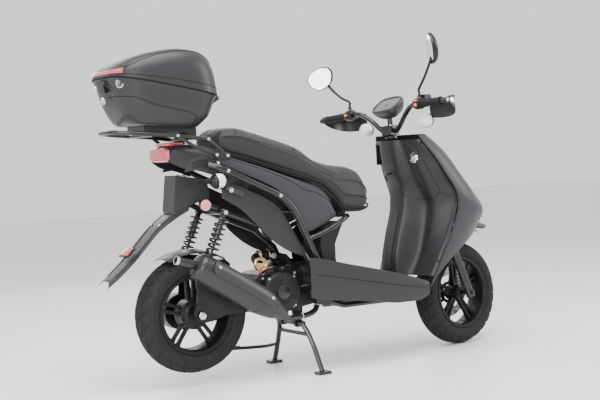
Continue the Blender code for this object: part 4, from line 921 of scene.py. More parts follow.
def headlight():
    """Two projector lamps behind domes, with bezels, in a dark recess."""
    domes = []
    for y in (0.056, -0.056):
        centre = LAMP + ACROSS * y - LAMP_OUT * 0.030
        domes.append(turned([(0.0405, 0.0006), (0.0405, 0.016), (0.039, 0.022), (0.033, 0.029), (0.022, 0.0335),
                             (0.010, 0.0355), (0.0004, 0.036)], centre, LAMP_OUT, 48))
    show("headlamp_domes", domes, CLEAR, "frame", replaces="headlight_lens", angle=50)
    rims = []
    for y in (0.056, -0.056):
        centre = LAMP + ACROSS * y
        rims.append(turned([(0.0412, -0.029), (0.0440, -0.029), (0.0440, -0.010), (0.0425, -0.008), (0.0412, -0.010)],
                           centre, LAMP_OUT, 48, loop=True))
    show("headlamp_bezels", rims, CHROME, "frame")
    eyes = []
    for y in (0.056, -0.056):
        eyes.append(ring(LAMP + ACROSS * y + LAMP_OUT * 0.0040, LAMP_OUT, 0.018, 0.0016))
    show("headlamp_rings", eyes, BLACK_SMOOTH, "frame")


HUMP_X = [(0.352, 0.992), (0.420, 0.996), (0.530, 1.020), (0.660, 1.054), (0.720, 1.056), (0.800, 1.034),
          (0.900, 1.014), (0.955, 1.010)]
WELL_X = [(0.352, 1.062), (0.450, 1.104), (0.560, 1.132), (0.660, 1.148), (0.720, 1.130), (0.800, 1.096),
          (0.900, 1.064), (0.955, 1.050)]


def shield_section(z):
    """Half of the inner shield's outline at a height, from its edge to the middle of its hump."""
    edge = along(EDGE_X, z) - 0.003
    hump, well = along(HUMP_X, z), along(WELL_X, z)
    half = along(HALF_WIDTH, z) - 0.008
    return [(edge, half), (edge - 0.012, half * 0.92), (well, half * 0.66), (well - 0.012, half * 0.46),
            (hump + 0.010, 0.058), (hump, 0.036), (hump - 0.003, 0)]


def shield_surface(z, half_share):
    """A point of the inner shield's skin: half_share from 0 on the hump to 1 at the edge."""
    points = smooth_path([(x, y, 0) for x, y in shield_section(z)], 8)
    spot = points[round((1 - half_share) * (len(points) - 1))]
    return Vector((spot.x, spot.y, z))


def leg_shield():
    """The inner shield with its glove pocket, the switch's hole, a shelf line and screws."""
    rings = []
    for z in stations(0.352, 0.955, 46):
        half = smooth_path([(x, y, 0) for x, y in shield_section(z)], 5)
        outer = [(p.x, p.y) for p in half] + [(p.x, -p.y) for p in reversed(half[:-1])]
        inner = [(x + WALL * 1.3, y * 0.985) for x, y in reversed(outer)]
        rings.append([(x, y, z) for x, y in outer + inner])
    lock_way = Vector((-0.86, -0.42, 0.28)).normalized()
    lock = Vector((1.084, -0.122, 0.872))
    pocket = block((1.053, 0.074, 0.846), (1.128, 0.134, 0.940))
    pocket_space = block((1.000, 0.078, 0.850), (1.124, 0.130, 0.936))
    hole = rod(lock - lock_way * 0.05, lock + lock_way * 0.05, 0.0195, 40)
    show("inner_shield", stack(rings), SHIELD_BLACK, "frame", bevel=0.0012,
         replaces="leg_shield", join=[pocket], cut=[pocket_space, hole], angle=46)
    bezel = turned([(0.0190, -0.006), (0.0245, -0.002), (0.0260, 0.003), (0.0245, 0.006), (0.0205, 0.0075),
                    (0.0190, 0.005)], lock, lock_way, 48, loop=True)
    show("lock_bezel", bezel, STEEL, "frame")
    for sign, side in ((1, "left"), (-1, "right")):
        screws = []
        for z, share in ((0.676, 0.985), (0.416, 0.94), (0.938, 0.95), (0.545, 0.62), (0.470, 0.62)):
            screws += bolt(flip(shield_surface(z, share), sign) + Vector((-0.0015, 0, 0)), (-1, 0, 0.1), 0.0046)
        show(f"shield_screws_{side}", screws, BLACK_SMOOTH, "frame")
        line = [flip(shield_surface(z, 0.74), sign) + Vector((-0.0006, 0, 0)) for z in stations(0.72, 0.945, 7)]
        sweep = [(0.700, 0.70), (0.684, 0.58), (0.690, 0.46), (0.706, 0.34), (0.722, 0.24)]
        line = [flip(shield_surface(z, s), sign) + Vector((-0.0006, 0, 0)) for z, s in reversed(sweep)] + line
        groove(f"shield_line_{side}", line)
        low = [flip(shield_surface(z, 0.86), sign) + Vector((-0.0006, 0, 0)) for z in stations(0.372, 0.640, 8)]
        groove(f"shield_lower_line_{side}", low)
    arch = [Vector((-0.002, 0, 0)) + Vector((shield_surface(z, s).x, shield_surface(z, s).y * sign, z))
            for z, s, sign in ((0.690, 0.90, -1), (0.716, 0.72, -1), (0.730, 0.50, -1), (0.728, 0.28, -1))]
    show("shield_shelf_right", tube(smooth_path(arch, 8), 0.0022, 10), SHIELD_BLACK, "frame")
    arch = [flip(p, -1) for p in arch]
    show("shield_shelf_left", tube(smooth_path(arch, 8), 0.0022, 10), SHIELD_BLACK, "frame")
    hook = [(1.044, 0, 0.800), (1.018, 0, 0.806), (1.006, 0, 0.796), (1.008, 0, 0.782), (1.016, 0, 0.776)]
    show("bag_hook", tube(smooth_path(hook, 6), 0.0042, 12), BLACK_SMOOTH, "frame")
    tunnel = []
    for z in stations(0.380, 0.640, 14):
        x = along(HUMP_X, z) - 0.0045
        tunnel.append([(x, -0.026, z), (x, 0.026, z), (x + 0.003, 0.026, z), (x + 0.003, -0.026, z)])
    show("tunnel_cover", stack(tunnel), SHIELD_BLACK, "frame", bevel=0.0012)


def panel_pair(name, table, finish, bulge, edge_line=None, thick=WALL):
    """A bulged panel on each side from stations of (x, bottom, top, y at its edges)."""
    bottoms, tops, sides = ([(row[0], row[k]) for row in table] for k in (1, 2, 3))
    for sign, side in ((1, "left"), (-1, "right")):
        columns = []
        lines = {share: [] for share in (edge_line or [])}
        for x in stations(table[0][0], table[-1][0], 44):
            bottom, top, y = along(bottoms, x), along(tops, x), along(sides, x)
            column = []
            for t in stations(0, 1, 9):
                column.append((x, (y + bulge * 4 * t * (1 - t)) * sign, bottom + (top - bottom) * t))
            columns.append(column)
            for share, line in lines.items():
                out = y + bulge * 4 * share * (1 - share) + 0.0002
                line.append((x, out * sign, bottom + (top - bottom) * share))
        show(f"{name}_skin_{side}", sheet(columns, (0, -thick * sign, 0)), finish, "frame",
             bevel=0.0011, replaces=f"{name}_{side}")
        for k, line in enumerate(lines.values()):
            show(f"{name}_line_{side}_{k}", tube(line[2:-2], 0.0011, 8), GROOVE, "frame")


SIDE_PANEL = [(0.100, 0.895, 0.934, 0.132), (0.200, 0.852, 0.902, 0.146), (0.300, 0.806, 0.868, 0.150),
              (0.370, 0.764, 0.842, 0.150), (0.425, 0.695, 0.822, 0.149), (0.462, 0.612, 0.808, 0.148),
              (0.480, 0.590, 0.801, 0.147), (0.540, 0.606, 0.778, 0.144), (0.600, 0.628, 0.735, 0.138),
              (0.640, 0.644, 0.664, 0.132)]
LOWER_PANEL = [(0.095, 0.760, 0.828, 0.143), (0.166, 0.716, 0.806, 0.150), (0.232, 0.656, 0.776, 0.152),
               (0.298, 0.586, 0.744, 0.152), (0.350, 0.545, 0.706, 0.152), (0.400, 0.516, 0.636, 0.150),
               (0.445, 0.498, 0.556, 0.149), (0.472, 0.488, 0.512, 0.148)]
FLOOR_SKIRT = [(0.455, 0.322, 0.490, 0.204), (0.530, 0.305, 0.476, 0.214), (0.620, 0.295, 0.452, 0.222),
               (0.760, 0.275, 0.418, 0.224), (0.900, 0.256, 0.382, 0.220), (1.000, 0.254, 0.352, 0.213),
               (1.062, 0.272, 0.330, 0.207)]


def fender():
    """The front mudguard over its tyre, with rolled edges."""
    table = [(-0.205, 0.227, 0.056), (-0.16, 0.265, 0.062), (-0.10, 0.285, 0.066), (-0.03, 0.299, 0.067),
             (0.05, 0.303, 0.072), (0.11, 0.297, 0.064), (0.17, 0.270, 0.034)]
    line = smooth_path([(x, half, z) for x, z, half in table], 6)
    columns = []
    for spot in line:
        middle = Vector((FRONT_AXLE.x + spot.x, 0, FRONT_TYRE_R + spot.z))
        columns.append([middle + Vector((0, spot.y * s, -0.020 * abs(s) ** 3)) for s in stations(-1, 1, 15)])
    show("front_mudguard", sheet(columns, (0, 0, WALL)), GREY, "steering", bevel=0.001,
         replaces="front_fender")


front_shell()
headlight()
leg_shield()
panel_pair("side_panel", SIDE_PANEL, GREY_PAINTED_LIT, 0.004, edge_line=(0.86,))
panel_pair("lower_panel", LOWER_PANEL, GREY, 0.003)
panel_pair("floor_skirt", FLOOR_SKIRT, GREY, 0.006, edge_line=(0.60,))
fender()


# Seat.

SEAT_TOP = [(0.108, 1.010), (0.133, 1.038), (0.194, 1.043), (0.273, 1.023), (0.344, 1.000), (0.415, 0.975),
            (0.463, 0.956), (0.497, 0.938), (0.535, 0.908), (0.574, 0.887), (0.660, 0.865), (0.737, 0.855),
            (0.788, 0.836), (0.823, 0.799), (0.846, 0.756), (0.858, 0.722)]
SEAT_LOW = [(0.104, 0.950), (0.230, 0.911), (0.369, 0.863), (0.512, 0.814), (0.580, 0.784), (0.612, 0.755),
            (0.645, 0.722), (0.680, 0.674), (0.777, 0.662), (0.846, 0.678), (0.858, 0.694)]
SEAT_HALF = [(0.108, 0.112), (0.160, 0.122), (0.300, 0.138), (0.500, 0.155), (0.640, 0.156), (0.740, 0.140),
             (0.820, 0.106), (0.858, 0.066)]
SEAT_SECTION = [(0.90, 0.0), (0.985, 0.10), (1.0, 0.30), (0.985, 0.50), (0.94, 0.68), (0.84, 0.86), (0.68, 0.955),
                (0.45, 0.99), (0.22, 1.0), (0.0, 1.0)]
SEAT_CAP = 0.006  # how far the padding may swell


def seat_point(x, a, b):
    """A point of the seat's skin: a across from the middle, b up from its lower edge."""
    low, high, half = along(SEAT_LOW, x), along(SEAT_TOP, x), along(SEAT_HALF, x)
    return Vector((x, half * a, low + (high - low) * b))


CLOTH_FRAMES = 20


def swell(obj, pressure, cap, voxel):
    """Blows the padding up as cloth, no further than the cap."""
    change = obj.modifiers.new("voxels", "REMESH")
    change.mode = "VOXEL"
    change.voxel_size = voxel
    change.adaptivity = 0.0
    apply_changes(obj)
    before = [v.co.copy() for v in obj.data.vertices]
    cloth = obj.modifiers.new("cloth", "CLOTH")
    cloth.settings.quality = 4
    cloth.settings.mass = 0.3
    cloth.settings.use_pressure = True
    cloth.settings.uniform_pressure_force = pressure
    cloth.settings.tension_stiffness = 12
    cloth.settings.compression_stiffness = 12
    cloth.settings.bending_stiffness = 0.8
    cloth.settings.effector_weights.gravity = 0
    cloth.point_cache.frame_start = 1
    cloth.point_cache.frame_end = CLOTH_FRAMES
    scene = bpy.context.scene
    for step in range(1, CLOTH_FRAMES + 1):
        scene.frame_set(step)
    apply_changes(obj)
    for vertex, start in zip(obj.data.vertices, before):
        moved = vertex.co - start
        if moved.length > cap:
            vertex.co = start + moved * (cap / moved.length)
    scene.frame_set(1)


def seat():
    """The padded seat, swollen as cloth, with piping, panel seams and its edge trim."""
    inset = 0.0045
    rings = []
    for x in stations(0.108 + inset, 0.858 - inset, 60):
        low, high, half = along(SEAT_LOW, x), along(SEAT_TOP, x), along(SEAT_HALF, x)
        middle = (low + high) / 2
        side = [Vector((x, -(half * a - inset), low + (high - low) * b)) for a, b in SEAT_SECTION]
        for p in side:
            p.y = min(p.y, 0.0)
            p.z += inset if p.z < middle else -inset
        rings.append(side + [flip(p, -1) for p in reversed(side[:-1])])
    cushion = show("seat_padding", stack(rings), VINYL, "seat", replaces="seat_cushion", angle=60)
    cushion.parent = None
    swell(cushion, 4.0, SEAT_CAP, 0.006)
    cushion.data.shade_smooth()
    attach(cushion, "seat")
    finer = cushion.modifiers.new("finer", "SUBSURF")
    finer.levels = 1
    finer.render_levels = 1
    for sign, side in ((1, "left"), (-1, "right")):
        welt = [flip(seat_point(x, 0.945, 0.70), sign) for x in stations(0.125, 0.845, 40)]
        show(f"seat_piping_{side}", tube(welt, 0.0026, 10), VINYL, "seat")
        stitch = [flip(seat_point(x, 0.985, 0.34), sign) + ACROSS * 0.0006 * sign for x in stations(0.60, 0.845, 16)]
        show(f"seat_nose_seam_{side}", tube(stitch, 0.0012, 8), GROOVE, "seat")
    trim = [seat_point(x, 0.965, 0.015) for x in stations(0.112, 0.850, 44)]
    trim = smooth_path([*trim, Vector((0.855, 0.030, 0.695))], 2)
    show("seat_edge_trim", tube([*trim, *[flip(p, -1) for p in reversed(trim)]], 0.0036, 10), RUBBER, "seat")
    for k, x in enumerate((0.475, 0.215)):
        cross = []
        for share in stations(-0.90, 0.90, 25):
            a = abs(share)
            high = 0.70 + 0.30 * math.cos(min(a / 0.94, 1.0) * math.pi / 2) ** 0.5
            spot = seat_point(x - 0.030 * a * a, share, high)
            cross.append(spot + UP * 0.0012)
        show(f"seat_cross_seam_{k}", tube(smooth_path(cross, 2), 0.0016, 8), GROOVE, "seat")


seat()


# Tail, rear mudguard and rack.

TAIL = [(-0.097, 0.088, 0.914, 0.974), (-0.050, 0.100, 0.888, 0.986), (0.020, 0.112, 0.872, 0.984),
        (0.092, 0.126, 0.846, 0.964)]
POD = [(0.006, 0), (0.014, 0.0020), (0.022, 0.006), (0.0275, 0.012), (0.030, 0.020), (0.0305, 0.032), (0.030, 0.044),
       (0.0275, 0.051), (0.024, 0.056), (0.017, 0.0605), (0.010, 0.062)]


def tail_cover():
    halves, lows, highs = ([(row[0], row[k]) for row in TAIL] for k in (1, 2, 3))
    rings = []
    for x in stations(-0.097, 0.092, 24):
        half, low, high = along(halves, x), along(lows, x), along(highs, x)
        side = [(-half, low), (-half * 1.02, low + 0.30 * (high - low)), (-half, low + 0.58 * (high - low)),
                (-half * 0.93, low + 0.80 * (high - low)), (-half * 0.78, high - 0.006), (-half * 0.4, high - 0.001),
                (0, high)]
        outer = side + [(-y, z) for y, z in reversed(side[:-1])]
        inner = [(y * (1 - WALL / half), z - (WALL if z > low else 0)) for y, z in reversed(outer)]
        rings.append([(x, y, z) for y, z in outer + inner])
    show("tail_skin", stack(rings), GREY, "frame", bevel=0.0012, replaces="tail_cover", angle=46)
    for sign, side in ((1, "left"), (-1, "right")):
        frame_line = [(-0.046, 0.872), (-0.018, 0.924), (0.030, 0.932), (0.056, 0.922), (0.058, 0.900),
                      (0.030, 0.880)]

        def skin(x, z, out=0.0):
            low, high = along(lows, x), along(highs, x)
            share = (z - low) / (high - low)
            half = along(halves, x) * (1.0 + 0.02 * math.sin(math.pi * min(max(share, 0.0), 0.6) / 0.6))
            return Vector((x, (half + out) * sign, z))

        panel = [skin(x, z, 0.0026) for x, z in frame_line]
        inner = [skin(x, z, -0.001) for x, z in frame_line]
        show(f"vent_panel_{side}", stack([inner, panel]), HEAT_SHIELD, "frame", bevel=0.001)
        # painted shade: thin dark discs on the vent panel stand for the shade inside its holes, which are not cut
        holes = []
        for row in range(4):
            for k in range(7):
                x = -0.010 + 0.0090 * k + 0.0045 * (row % 2)
                z = 0.889 + 0.0085 * row
                if x > 0.052 or (x < 0.002 and row > 2):
                    continue
                spot = skin(x, z, 0.0022)
                holes.append(rod(spot, spot + ACROSS * 0.0009 * sign, 0.0033, 6))
        show(f"vent_hole_shade_{side}", holes, GROOVE, "frame")


def oval_yz(x, z, half, high, power, count):
    """A rounded rectangle across the scooter."""
    line = []
    for k in range(count):
        t = 2 * math.pi * (k + 0.5) / count
        c, s = math.cos(t), math.sin(t)
        y = half * math.copysign(abs(c) ** (2 / power), c)
        line.append(Vector((x, y, z + high * math.copysign(abs(s) ** (2 / power), s))))
    return line


def tail_light():
    """The wrap-round lamp: a ribbed lens in a dark tray, with a bright corner strip."""
    body = []
    for x, half, high in ((-0.1100, 0.072, 0.021), (-0.1085, 0.080, 0.0255), (-0.104, 0.0855, 0.0275),
                          (-0.0978, 0.0868, 0.0283)):
        body.append(oval_yz(x, 0.944, half, high, 5.0, 40))
    show("tail_lens", stack(body), RED, "frame", bevel=0.001, replaces="tail_light", angle=50)
    tray = []
    for x, half, high in ((-0.0975, 0.0885, 0.0298), (-0.0900, 0.0900, 0.0305)):
        tray.append(oval_yz(x, 0.944, half, high, 5.0, 40))
    show("tail_lamp_tray", stack(tray), BLACK_SMOOTH, "frame", bevel=0.0008)
    show("upper_brake_lamp", block((-0.090, -0.060, 0.978), (-0.022, 0.060, 0.9925)), RED, "frame",
         bevel=0.003)


GUARD_LINE = [(0.000, 0.742, 0.070), (-0.060, 0.712, 0.070), (-0.130, 0.668, 0.070), (-0.185, 0.615, 0.069),
              (-0.245, 0.555, 0.067), (-0.310, 0.500, 0.064), (-0.362, 0.460, 0.056)]
HANGER_PLATE = [(-0.060, 0.860), (0.080, 0.836), (0.088, 0.760), (-0.010, 0.734), (-0.072, 0.700), (-0.078, 0.720)]


def rear_mudguard():
    line = smooth_path([(x, half, z) for x, z, half in GUARD_LINE], 8)
    columns = []
    for p in line:
        columns.append([(p.x - 0.020 * abs(s) ** 3, p.y * s, p.z - 0.026 * abs(s) ** 3) for s in stations(-1, 1, 21)])
    stalk = rod((0.055, -0.150, 0.828), (0.055, 0.150, 0.828), 0.0085, 24)
    shapes = [sheet(columns, (0.0025, 0, WALL)), plate(HANGER_PLATE, -0.052, 0.052), stalk]
    show("tail_mudguard", shapes, GREY, "frame", bevel=0.0016, replaces="rear_mudguard")
    ribs = []
    for s in (-0.62, 0.62):
        ribs.append(tube([(p.x - 0.020 * abs(s) ** 3 + 0.002, p.y * s, p.z - 0.026 * abs(s) ** 3 + 0.0045)
                          for p in line[4:-4]], 0.0024, 8))
    show("mudguard_ribs", ribs, GREY, "frame")
    out = Vector((-0.70, 0, 0.71)).normalized()
    for k, at in enumerate((17, 9)):
        spot = line[at] + Vector((0.0015, 0, WALL))
        for sign in (1, -1):
            show(f"mudguard_bolt_{k}_{'left' if sign > 0 else 'right'}",
                 bolt((spot.x - 0.002, 0.038 * sign, spot.z - 0.0006), out, 0.0055), STEEL, "frame")
    base = Vector((-0.262, 0, 0.562))
    down = Vector((-0.72, 0, -0.69)).normalized()
    lamp_out = Vector((-0.69, 0, 0.72)).normalized()

    def tile(centre, half_long, half_wide, t0, t1):
        rings = []
        for t, grow in ((t0, 1.0), (t1 - 0.001, 1.0), (t1, 0.94)):
            middle = centre + lamp_out * t
            rings.append([middle + down * half_long * a * grow + ACROSS * half_wide * b * grow
                          for a, b in ((-1, -1), (1, -1), (1, 1), (-1, 1))])
        return stack(rings)

    show("reflector_tray", tile(base, 0.024, 0.042, 0.002, 0.010), BLACK_SMOOTH, "frame",
         bevel=0.0015)
    show("rear_reflector", tile(base, 0.020, 0.038, 0.0102, 0.0145), REFLECTOR_PAINTED_GLOW, "frame", bevel=0.001)
    for sign, side in ((1, "left"), (-1, "right")):
        way = Vector((0.9, 0, 0.1)).normalized()
        root = Vector((0.036, 0.170 * sign, 0.826))
        show(f"rear_signal_lens_{side}", turned([(r * 0.985, h) for r, h in POD[3:]], root, way, 40), CLEAR, "frame",
             angle=60)
        show(f"rear_signal_shell_{side}", turned([(r, h) for r, h in POD[:5]] + [(0.0308, 0.022)], root, way, 40),
             BLACK_SMOOTH, "frame", angle=60)
        spot = Vector((0.044, 0.090 * sign, 0.734))
        puck = [(0.0225, 0), (0.0228, 0.004), (0.0215, 0.0068), (0.019, 0.0075)]
        show(f"side_reflector_{side}", turned(puck, spot + ACROSS * 0.006 * sign, ACROSS * sign, 48), SIDE_REFLECTOR_PAINTED_GLOW, "frame")
        cup = [(0.006, -0.046), (0.008, -0.006), (0.0235, 0.000), (0.0240, 0.0060), (0.0232, 0.0062)]
        show(f"side_reflector_cup_{side}", turned(cup, spot, ACROSS * sign, 40), BLACK_SMOOTH, "frame")


RACK_R = 0.009


def luggage_rack():
    rack = [(0.060, 0.120, 0.998), (-0.080, 0.120, 1.018), (-0.250, 0.112, 1.034), (-0.312, 0.080, 1.040)]
    right = smooth_path(rack, 4) + [Vector((-0.326, 0.056, 1.0415)), Vector((-0.3305, 0.030, 1.042))]
    line = [*right, *[flip(p, -1) for p in reversed(right)]]
    shapes = [tube(smooth_path(line, 2), RACK_R, 20)]
    for x, z in ((-0.180, 1.024), (0.010, 1.006)):
        shapes.append(rod((x, -0.120, z), (x, 0.120, z), 0.007, 20))
    for sign in (1, -1):
        for path in ([(-0.077, 0.120, 1.018), (-0.004, 0.136, 0.970), (0.078, 0.146, 0.936)],
                     [(0.058, 0.120, 0.999), (0.086, 0.134, 0.972), (0.130, 0.148, 0.926)]):
            shapes.append(tube(smooth_path([(x, y * sign, z) for x, y, z in path], 6), 0.007, 18))
        corner = [(0.062, 0.936), (0.100, 0.950), (0.146, 0.934), (0.140, 0.916), (0.090, 0.918)]
        shapes.append(plate(corner, 0.142 * sign, 0.148 * sign))
    show("carrier_rack", shapes, STEEL_BLACK, "frame", replaces="luggage_rack", angle=50)
    bolts = []
    for sign in (1, -1):
        for x, z in ((0.080, 0.934), (0.128, 0.929)):
            bolts += hex_nut((x, 0.1482 * sign, z), ACROSS * sign, 0.0075, 0.006)
        for x, z in ((-0.077, 1.018), (0.058, 0.999)):
            bolts += bolt((x, 0.1285 * sign, z), ACROSS * sign, 0.0048)
    show("rack_bolts", bolts, STEEL, "frame")


tail_cover()
tail_light()
rear_mudguard()
luggage_rack()


# Top case.

CASE_MID = -0.106
CASE_HINGE = Vector((0.1315, 0, 1.166))
LATCH_HINGE = Vector((-0.3345, 0, 1.2375))
LID_TOP = [(-0.3345, 1.300), (-0.226, 1.342), (-0.150, 1.358), (-0.072, 1.366), (0.017, 1.362), (0.080, 1.350),
           (0.1225, 1.330)]
CASE_SIDES = 112


def case_floor(x):
    return 1.068 - 0.075 * (x + 0.262)


def seam(x):
    return 1.166 + 0.092 * (0.122 - x) / 0.457


def case_ring(level, half_x, half_y, centre_x=CASE_MID, lift=0.0, count=CASE_SIDES):
    """A ring between the case's floor (level 0) and its seam (level 1)."""
    return oval((centre_x, 0), half_x, half_y, 3.6, count,
                lambda x: case_floor(x) + (seam(x) - case_floor(x)) * level + lift)


CASE_LENGTHS = [(0.0, 0.148), (0.35, 0.188), (0.93, 0.221), (1.0, 0.2285)]
CASE_WIDTHS = [(0.0, 0.132), (0.35, 0.168), (0.93, 0.192), (1.0, 0.199)]


def case_skin(level, out=0.0):
    """The base's outline at a level, pushed out by a little."""
    middle = CASE_MID - 0.006 * (1 - min(level / 0.35, 1.0))
    return case_ring(level, along(CASE_LENGTHS, level) + out, along(CASE_WIDTHS, level) + out, middle)


def case_spot(level, share, out=0.0):
    """A point on the base's skin; share runs from 0 at its front over its left side to 1."""
    line = case_skin(level, out)
    return line[int(share * CASE_SIDES) % CASE_SIDES]


def case_base():
    outer = [case_skin(level) for level in (0, 0.04, 0.10, 0.20, 0.35, 0.5, 0.65, 0.8, 0.90, 0.95, 0.97, 1.0)]
    outer[0] = case_ring(0, 0.140, 0.124, -0.112)
    inner = [case_ring(level, along(CASE_LENGTHS, level) - WALL, along(CASE_WIDTHS, level) - WALL)
             for level in (1.0, 0.93, 0.35)]
    inner.append(case_ring(0, 0.140, 0.124, -0.112, WALL))
    foot = [(-0.200, 1.0316), (-0.020, 1.0316), (-0.002, 1.0136), (0.030, 1.0136), (0.030, 1.0485), (-0.200, 1.0645)]
    pin_ear = [(0.097, 1.135), (0.120, 1.150), (0.1365, 1.160), (0.1365, 1.171), (0.1275, 1.171), (0.1255, 1.1655),
               (0.100, 1.158)]
    latch_ear = [(-0.312, 1.215), (-0.320, 1.244), (-0.339, 1.242), (-0.339, 1.233), (-0.326, 1.222)]
    shapes = [stack([*outer, *inner]), plate(foot, -0.080, 0.080)]
    for sign in (1, -1):
        shapes.append(plate(pin_ear, 0.083 * sign, 0.096 * sign))
        shapes.append(plate(latch_ear, 0.0235 * sign, 0.0290 * sign))
    show("case_lower_shell", shapes, CASE_GREY, "frame", bevel=0.0012, replaces="case_base",
         angle=50)
    show("case_hinge_pin", rod(CASE_HINGE - ACROSS * 0.097, CASE_HINGE + ACROSS * 0.097, 0.0040, 20, 0.001), STEEL,
         "frame")
    show("latch_pin", rod(LATCH_HINGE - ACROSS * 0.0295, LATCH_HINGE + ACROSS * 0.0295, 0.0024, 16), STEEL, "frame")
    for sign, side in ((1, "left"), (-1, "right")):
        line = [(case_spot(0.60, 0.5, 0.0004))]
        for share in stations(0.5, 0.20, 22):
            level = 0.60 if share > 0.36 else 0.60 - 0.50 * ((0.36 - share) / 0.16) ** 1.2 * 0.55
            line.append(flip(case_spot(level, share, 0.0004), sign))
        for level in (0.24, 0.14, 0.05):
            line.append(flip(case_spot(level, 0.185 - 0.02 * (0.24 - level), 0.0004), sign))
        show(f"case_belt_line_{side}", tube(line, 0.0013, 8), GROOVE, "frame")
    lip = [case_skin(0.972, 0.0016), case_skin(0.985, 0.0026), case_skin(0.995, 0.0016), case_skin(0.995, -0.002),
           case_skin(0.972, -0.002)]
    show("case_seam_lip", stack(lip, loop=True), GROOVE, "frame", angle=60)
    rim_spot = Vector((-0.3290, 0, 1.168))
    way = Vector((-1, 0, -0.10)).normalized()
    barrel = [(0.0150, -0.004), (0.0160, 0.001), (0.0150, 0.0035), (0.0095, 0.0040), (0.0085, 0.0025),
              (0.0004, 0.0025)]
    show("case_lock", turned(barrel, rim_spot, way, 40), CHROME, "frame")
    side = across_axis(way)
    # painted shade: a thin dark slab on the lock's face stands for the shade inside its keyhole
    keyhole_shade = stack([[rim_spot + way * h + side[0] * a * 0.0009 + side[1] * b * 0.0050
                   for a, b in ((-1, -1), (1, -1), (1, 1), (-1, 1))] for h in (0.0020, 0.0030)])
    show("case_lock_keyhole_shade", keyhole_shade, GROOVE, "frame")
    puck = [(0.0175, -0.006), (0.0185, 0.0), (0.0170, 0.003), (0.0150, 0.0035), (0.0140, 0.0018), (0.0004, 0.0018)]
    spot = case_spot(0.86, 0.4285, 0.0)
    for sign, name in ((1, "left"), (-1, "right")):
        centre = flip(spot, sign)
        out = Vector((centre.x - CASE_MID + 0.05, centre.y * 0.9, -0.02)).normalized()
        show(f"case_corner_cap_{name}", turned(puck, centre - out * 0.0005, out, 40), CHROME, "frame")
        show(f"case_corner_eye_{name}", turned([(0.0138, 0), (0.0120, 0.0030), (0.0004, 0.0042)],
                                               centre + out * 0.0012, out, 40), GLASS_DARK, "frame")


def lid_surface(scale, level, out=0.0):
    """A ring of the lid from its seam (level 0) to its crown."""
    return oval((CASE_MID, 0), 0.2285 * scale + out, 0.199 * scale + out, 3.6 - 1.1 * level, CASE_SIDES,
                lambda x: seam(x) + 0.0008 + (along(LID_TOP, x) - seam(x) - 0.0008) * level)


LID_SCALES = [(0.0, 1.0), (0.45, 0.988), (0.76, 0.93), (0.93, 0.80), (1.0, 0.45)]


def lid_spot(level, share, out=0.0):
    ring_points = lid_surface(along(LID_SCALES, level), level, out)
    return ring_points[int(share * CASE_SIDES) % CASE_SIDES]


def case_lid():
    levels = [0, 0.05, 0.14, 0.26, 0.38, 0.5, 0.61, 0.70, 0.77, 0.83, 0.88, 0.92, 0.95, 0.975, 0.99]
    outer = [lid_surface(along(LID_SCALES, level), level) for level in levels]
    outer += [lid_surface(scale, 1.0) for scale in (0.45, 0.30, 0.15, 0.03)]
    inner = []
    for level in (0.97, 0.90, 0.76, 0.45, 0.0):
        inner.append(oval((CASE_MID, 0), 0.2240 * along(LID_SCALES, level), 0.1945 * along(LID_SCALES, level),
                          3.6 - 1.1 * level, CASE_SIDES,
                          lambda x: seam(x) + 0.0008 + (along(LID_TOP, x) - seam(x) - 0.0008) * level * 0.965))
    knuckle = turned([(0.0046, -0.080), (0.0078, -0.080), (0.0078, 0.080), (0.0046, 0.080)], CASE_HINGE, ACROSS, 32,
                     loop=True)
    strip = block((0.1150, -0.080, 1.1705), (0.1290, 0.080, 1.1760))
    show("case_upper_shell", [stack([*inner, *outer]), knuckle, strip], CASE_GREY, "case_lid",
         bevel=0.0010, replaces="case_lid", angle=50)
    for sign, side in ((1, "left"), (-1, "right")):
        line = [flip(lid_spot(0.16, share, 0.0003), sign) for share in stations(0.02, 0.47, 40)]
        show(f"lid_low_line_{side}", tube(line, 0.0011, 8), GROOVE, "case_lid")
        line = []
        for share in stations(0.44, 0.06, 36):
            level = 0.30 + 0.60 * math.sin(math.pi * (0.46 - share) / 0.50) ** 0.9
            line.append(flip(lid_spot(level, share, 0.0002), sign))
        show(f"lid_crown_line_{side}", tube(smooth_path(line, 2), 0.0013, 8), GROOVE, "case_lid")
    rows = []
    for level in stations(0.22, 0.56, 8):
        whole = lid_surface(along(LID_SCALES, level), level, 0.0022)
        low = lid_surface(along(LID_SCALES, level), level, -0.001)
        first, last = int(0.385 * CASE_SIDES), int(0.615 * CASE_SIDES)
        rows.append(whole[first:last] + low[first:last][::-1])
    show("lid_reflector", stack(rows), REFLECTOR_PAINTED_GLOW, "case_lid", bevel=0.0008, angle=60)


def case_latch():
    outline = [(-0.3185, 1.198), (-0.3290, 1.240), (-0.3330, 1.2425), (-0.3370, 1.2415), (-0.3385, 1.236),
               (-0.3290, 1.196)]
    show("latch_flap", plate(outline, -0.0229, 0.0229), BLACK_SMOOTH, "case_latch", bevel=0.0014,
         replaces="case_latch")


case_base()
case_lid()
case_latch()


# Frame tubes, floor and the covers under the seat.

EXO_Y = 0.172
EXO = [(0.045, 0.140, 0.897), (0.085, 0.165, 0.880), (0.168, EXO_Y, 0.840), (0.267, EXO_Y, 0.794),
       (0.350, EXO_Y, 0.752), (0.405, EXO_Y, 0.700), (0.439, EXO_Y, 0.638), (0.508, EXO_Y, 0.490),
       (0.550, EXO_Y, 0.418), (0.580, 0.166, 0.365), (0.590, 0.160, 0.330)]
BRACE = [(0.474, EXO_Y, 0.562), (0.566, 0.170, 0.590), (0.660, 0.155, 0.630), (0.700, 0.132, 0.645)]
FLOOR = [(0.600, 0.384), (0.700, 0.368), (0.850, 0.360), (0.980, 0.350), (1.048, 0.338)]


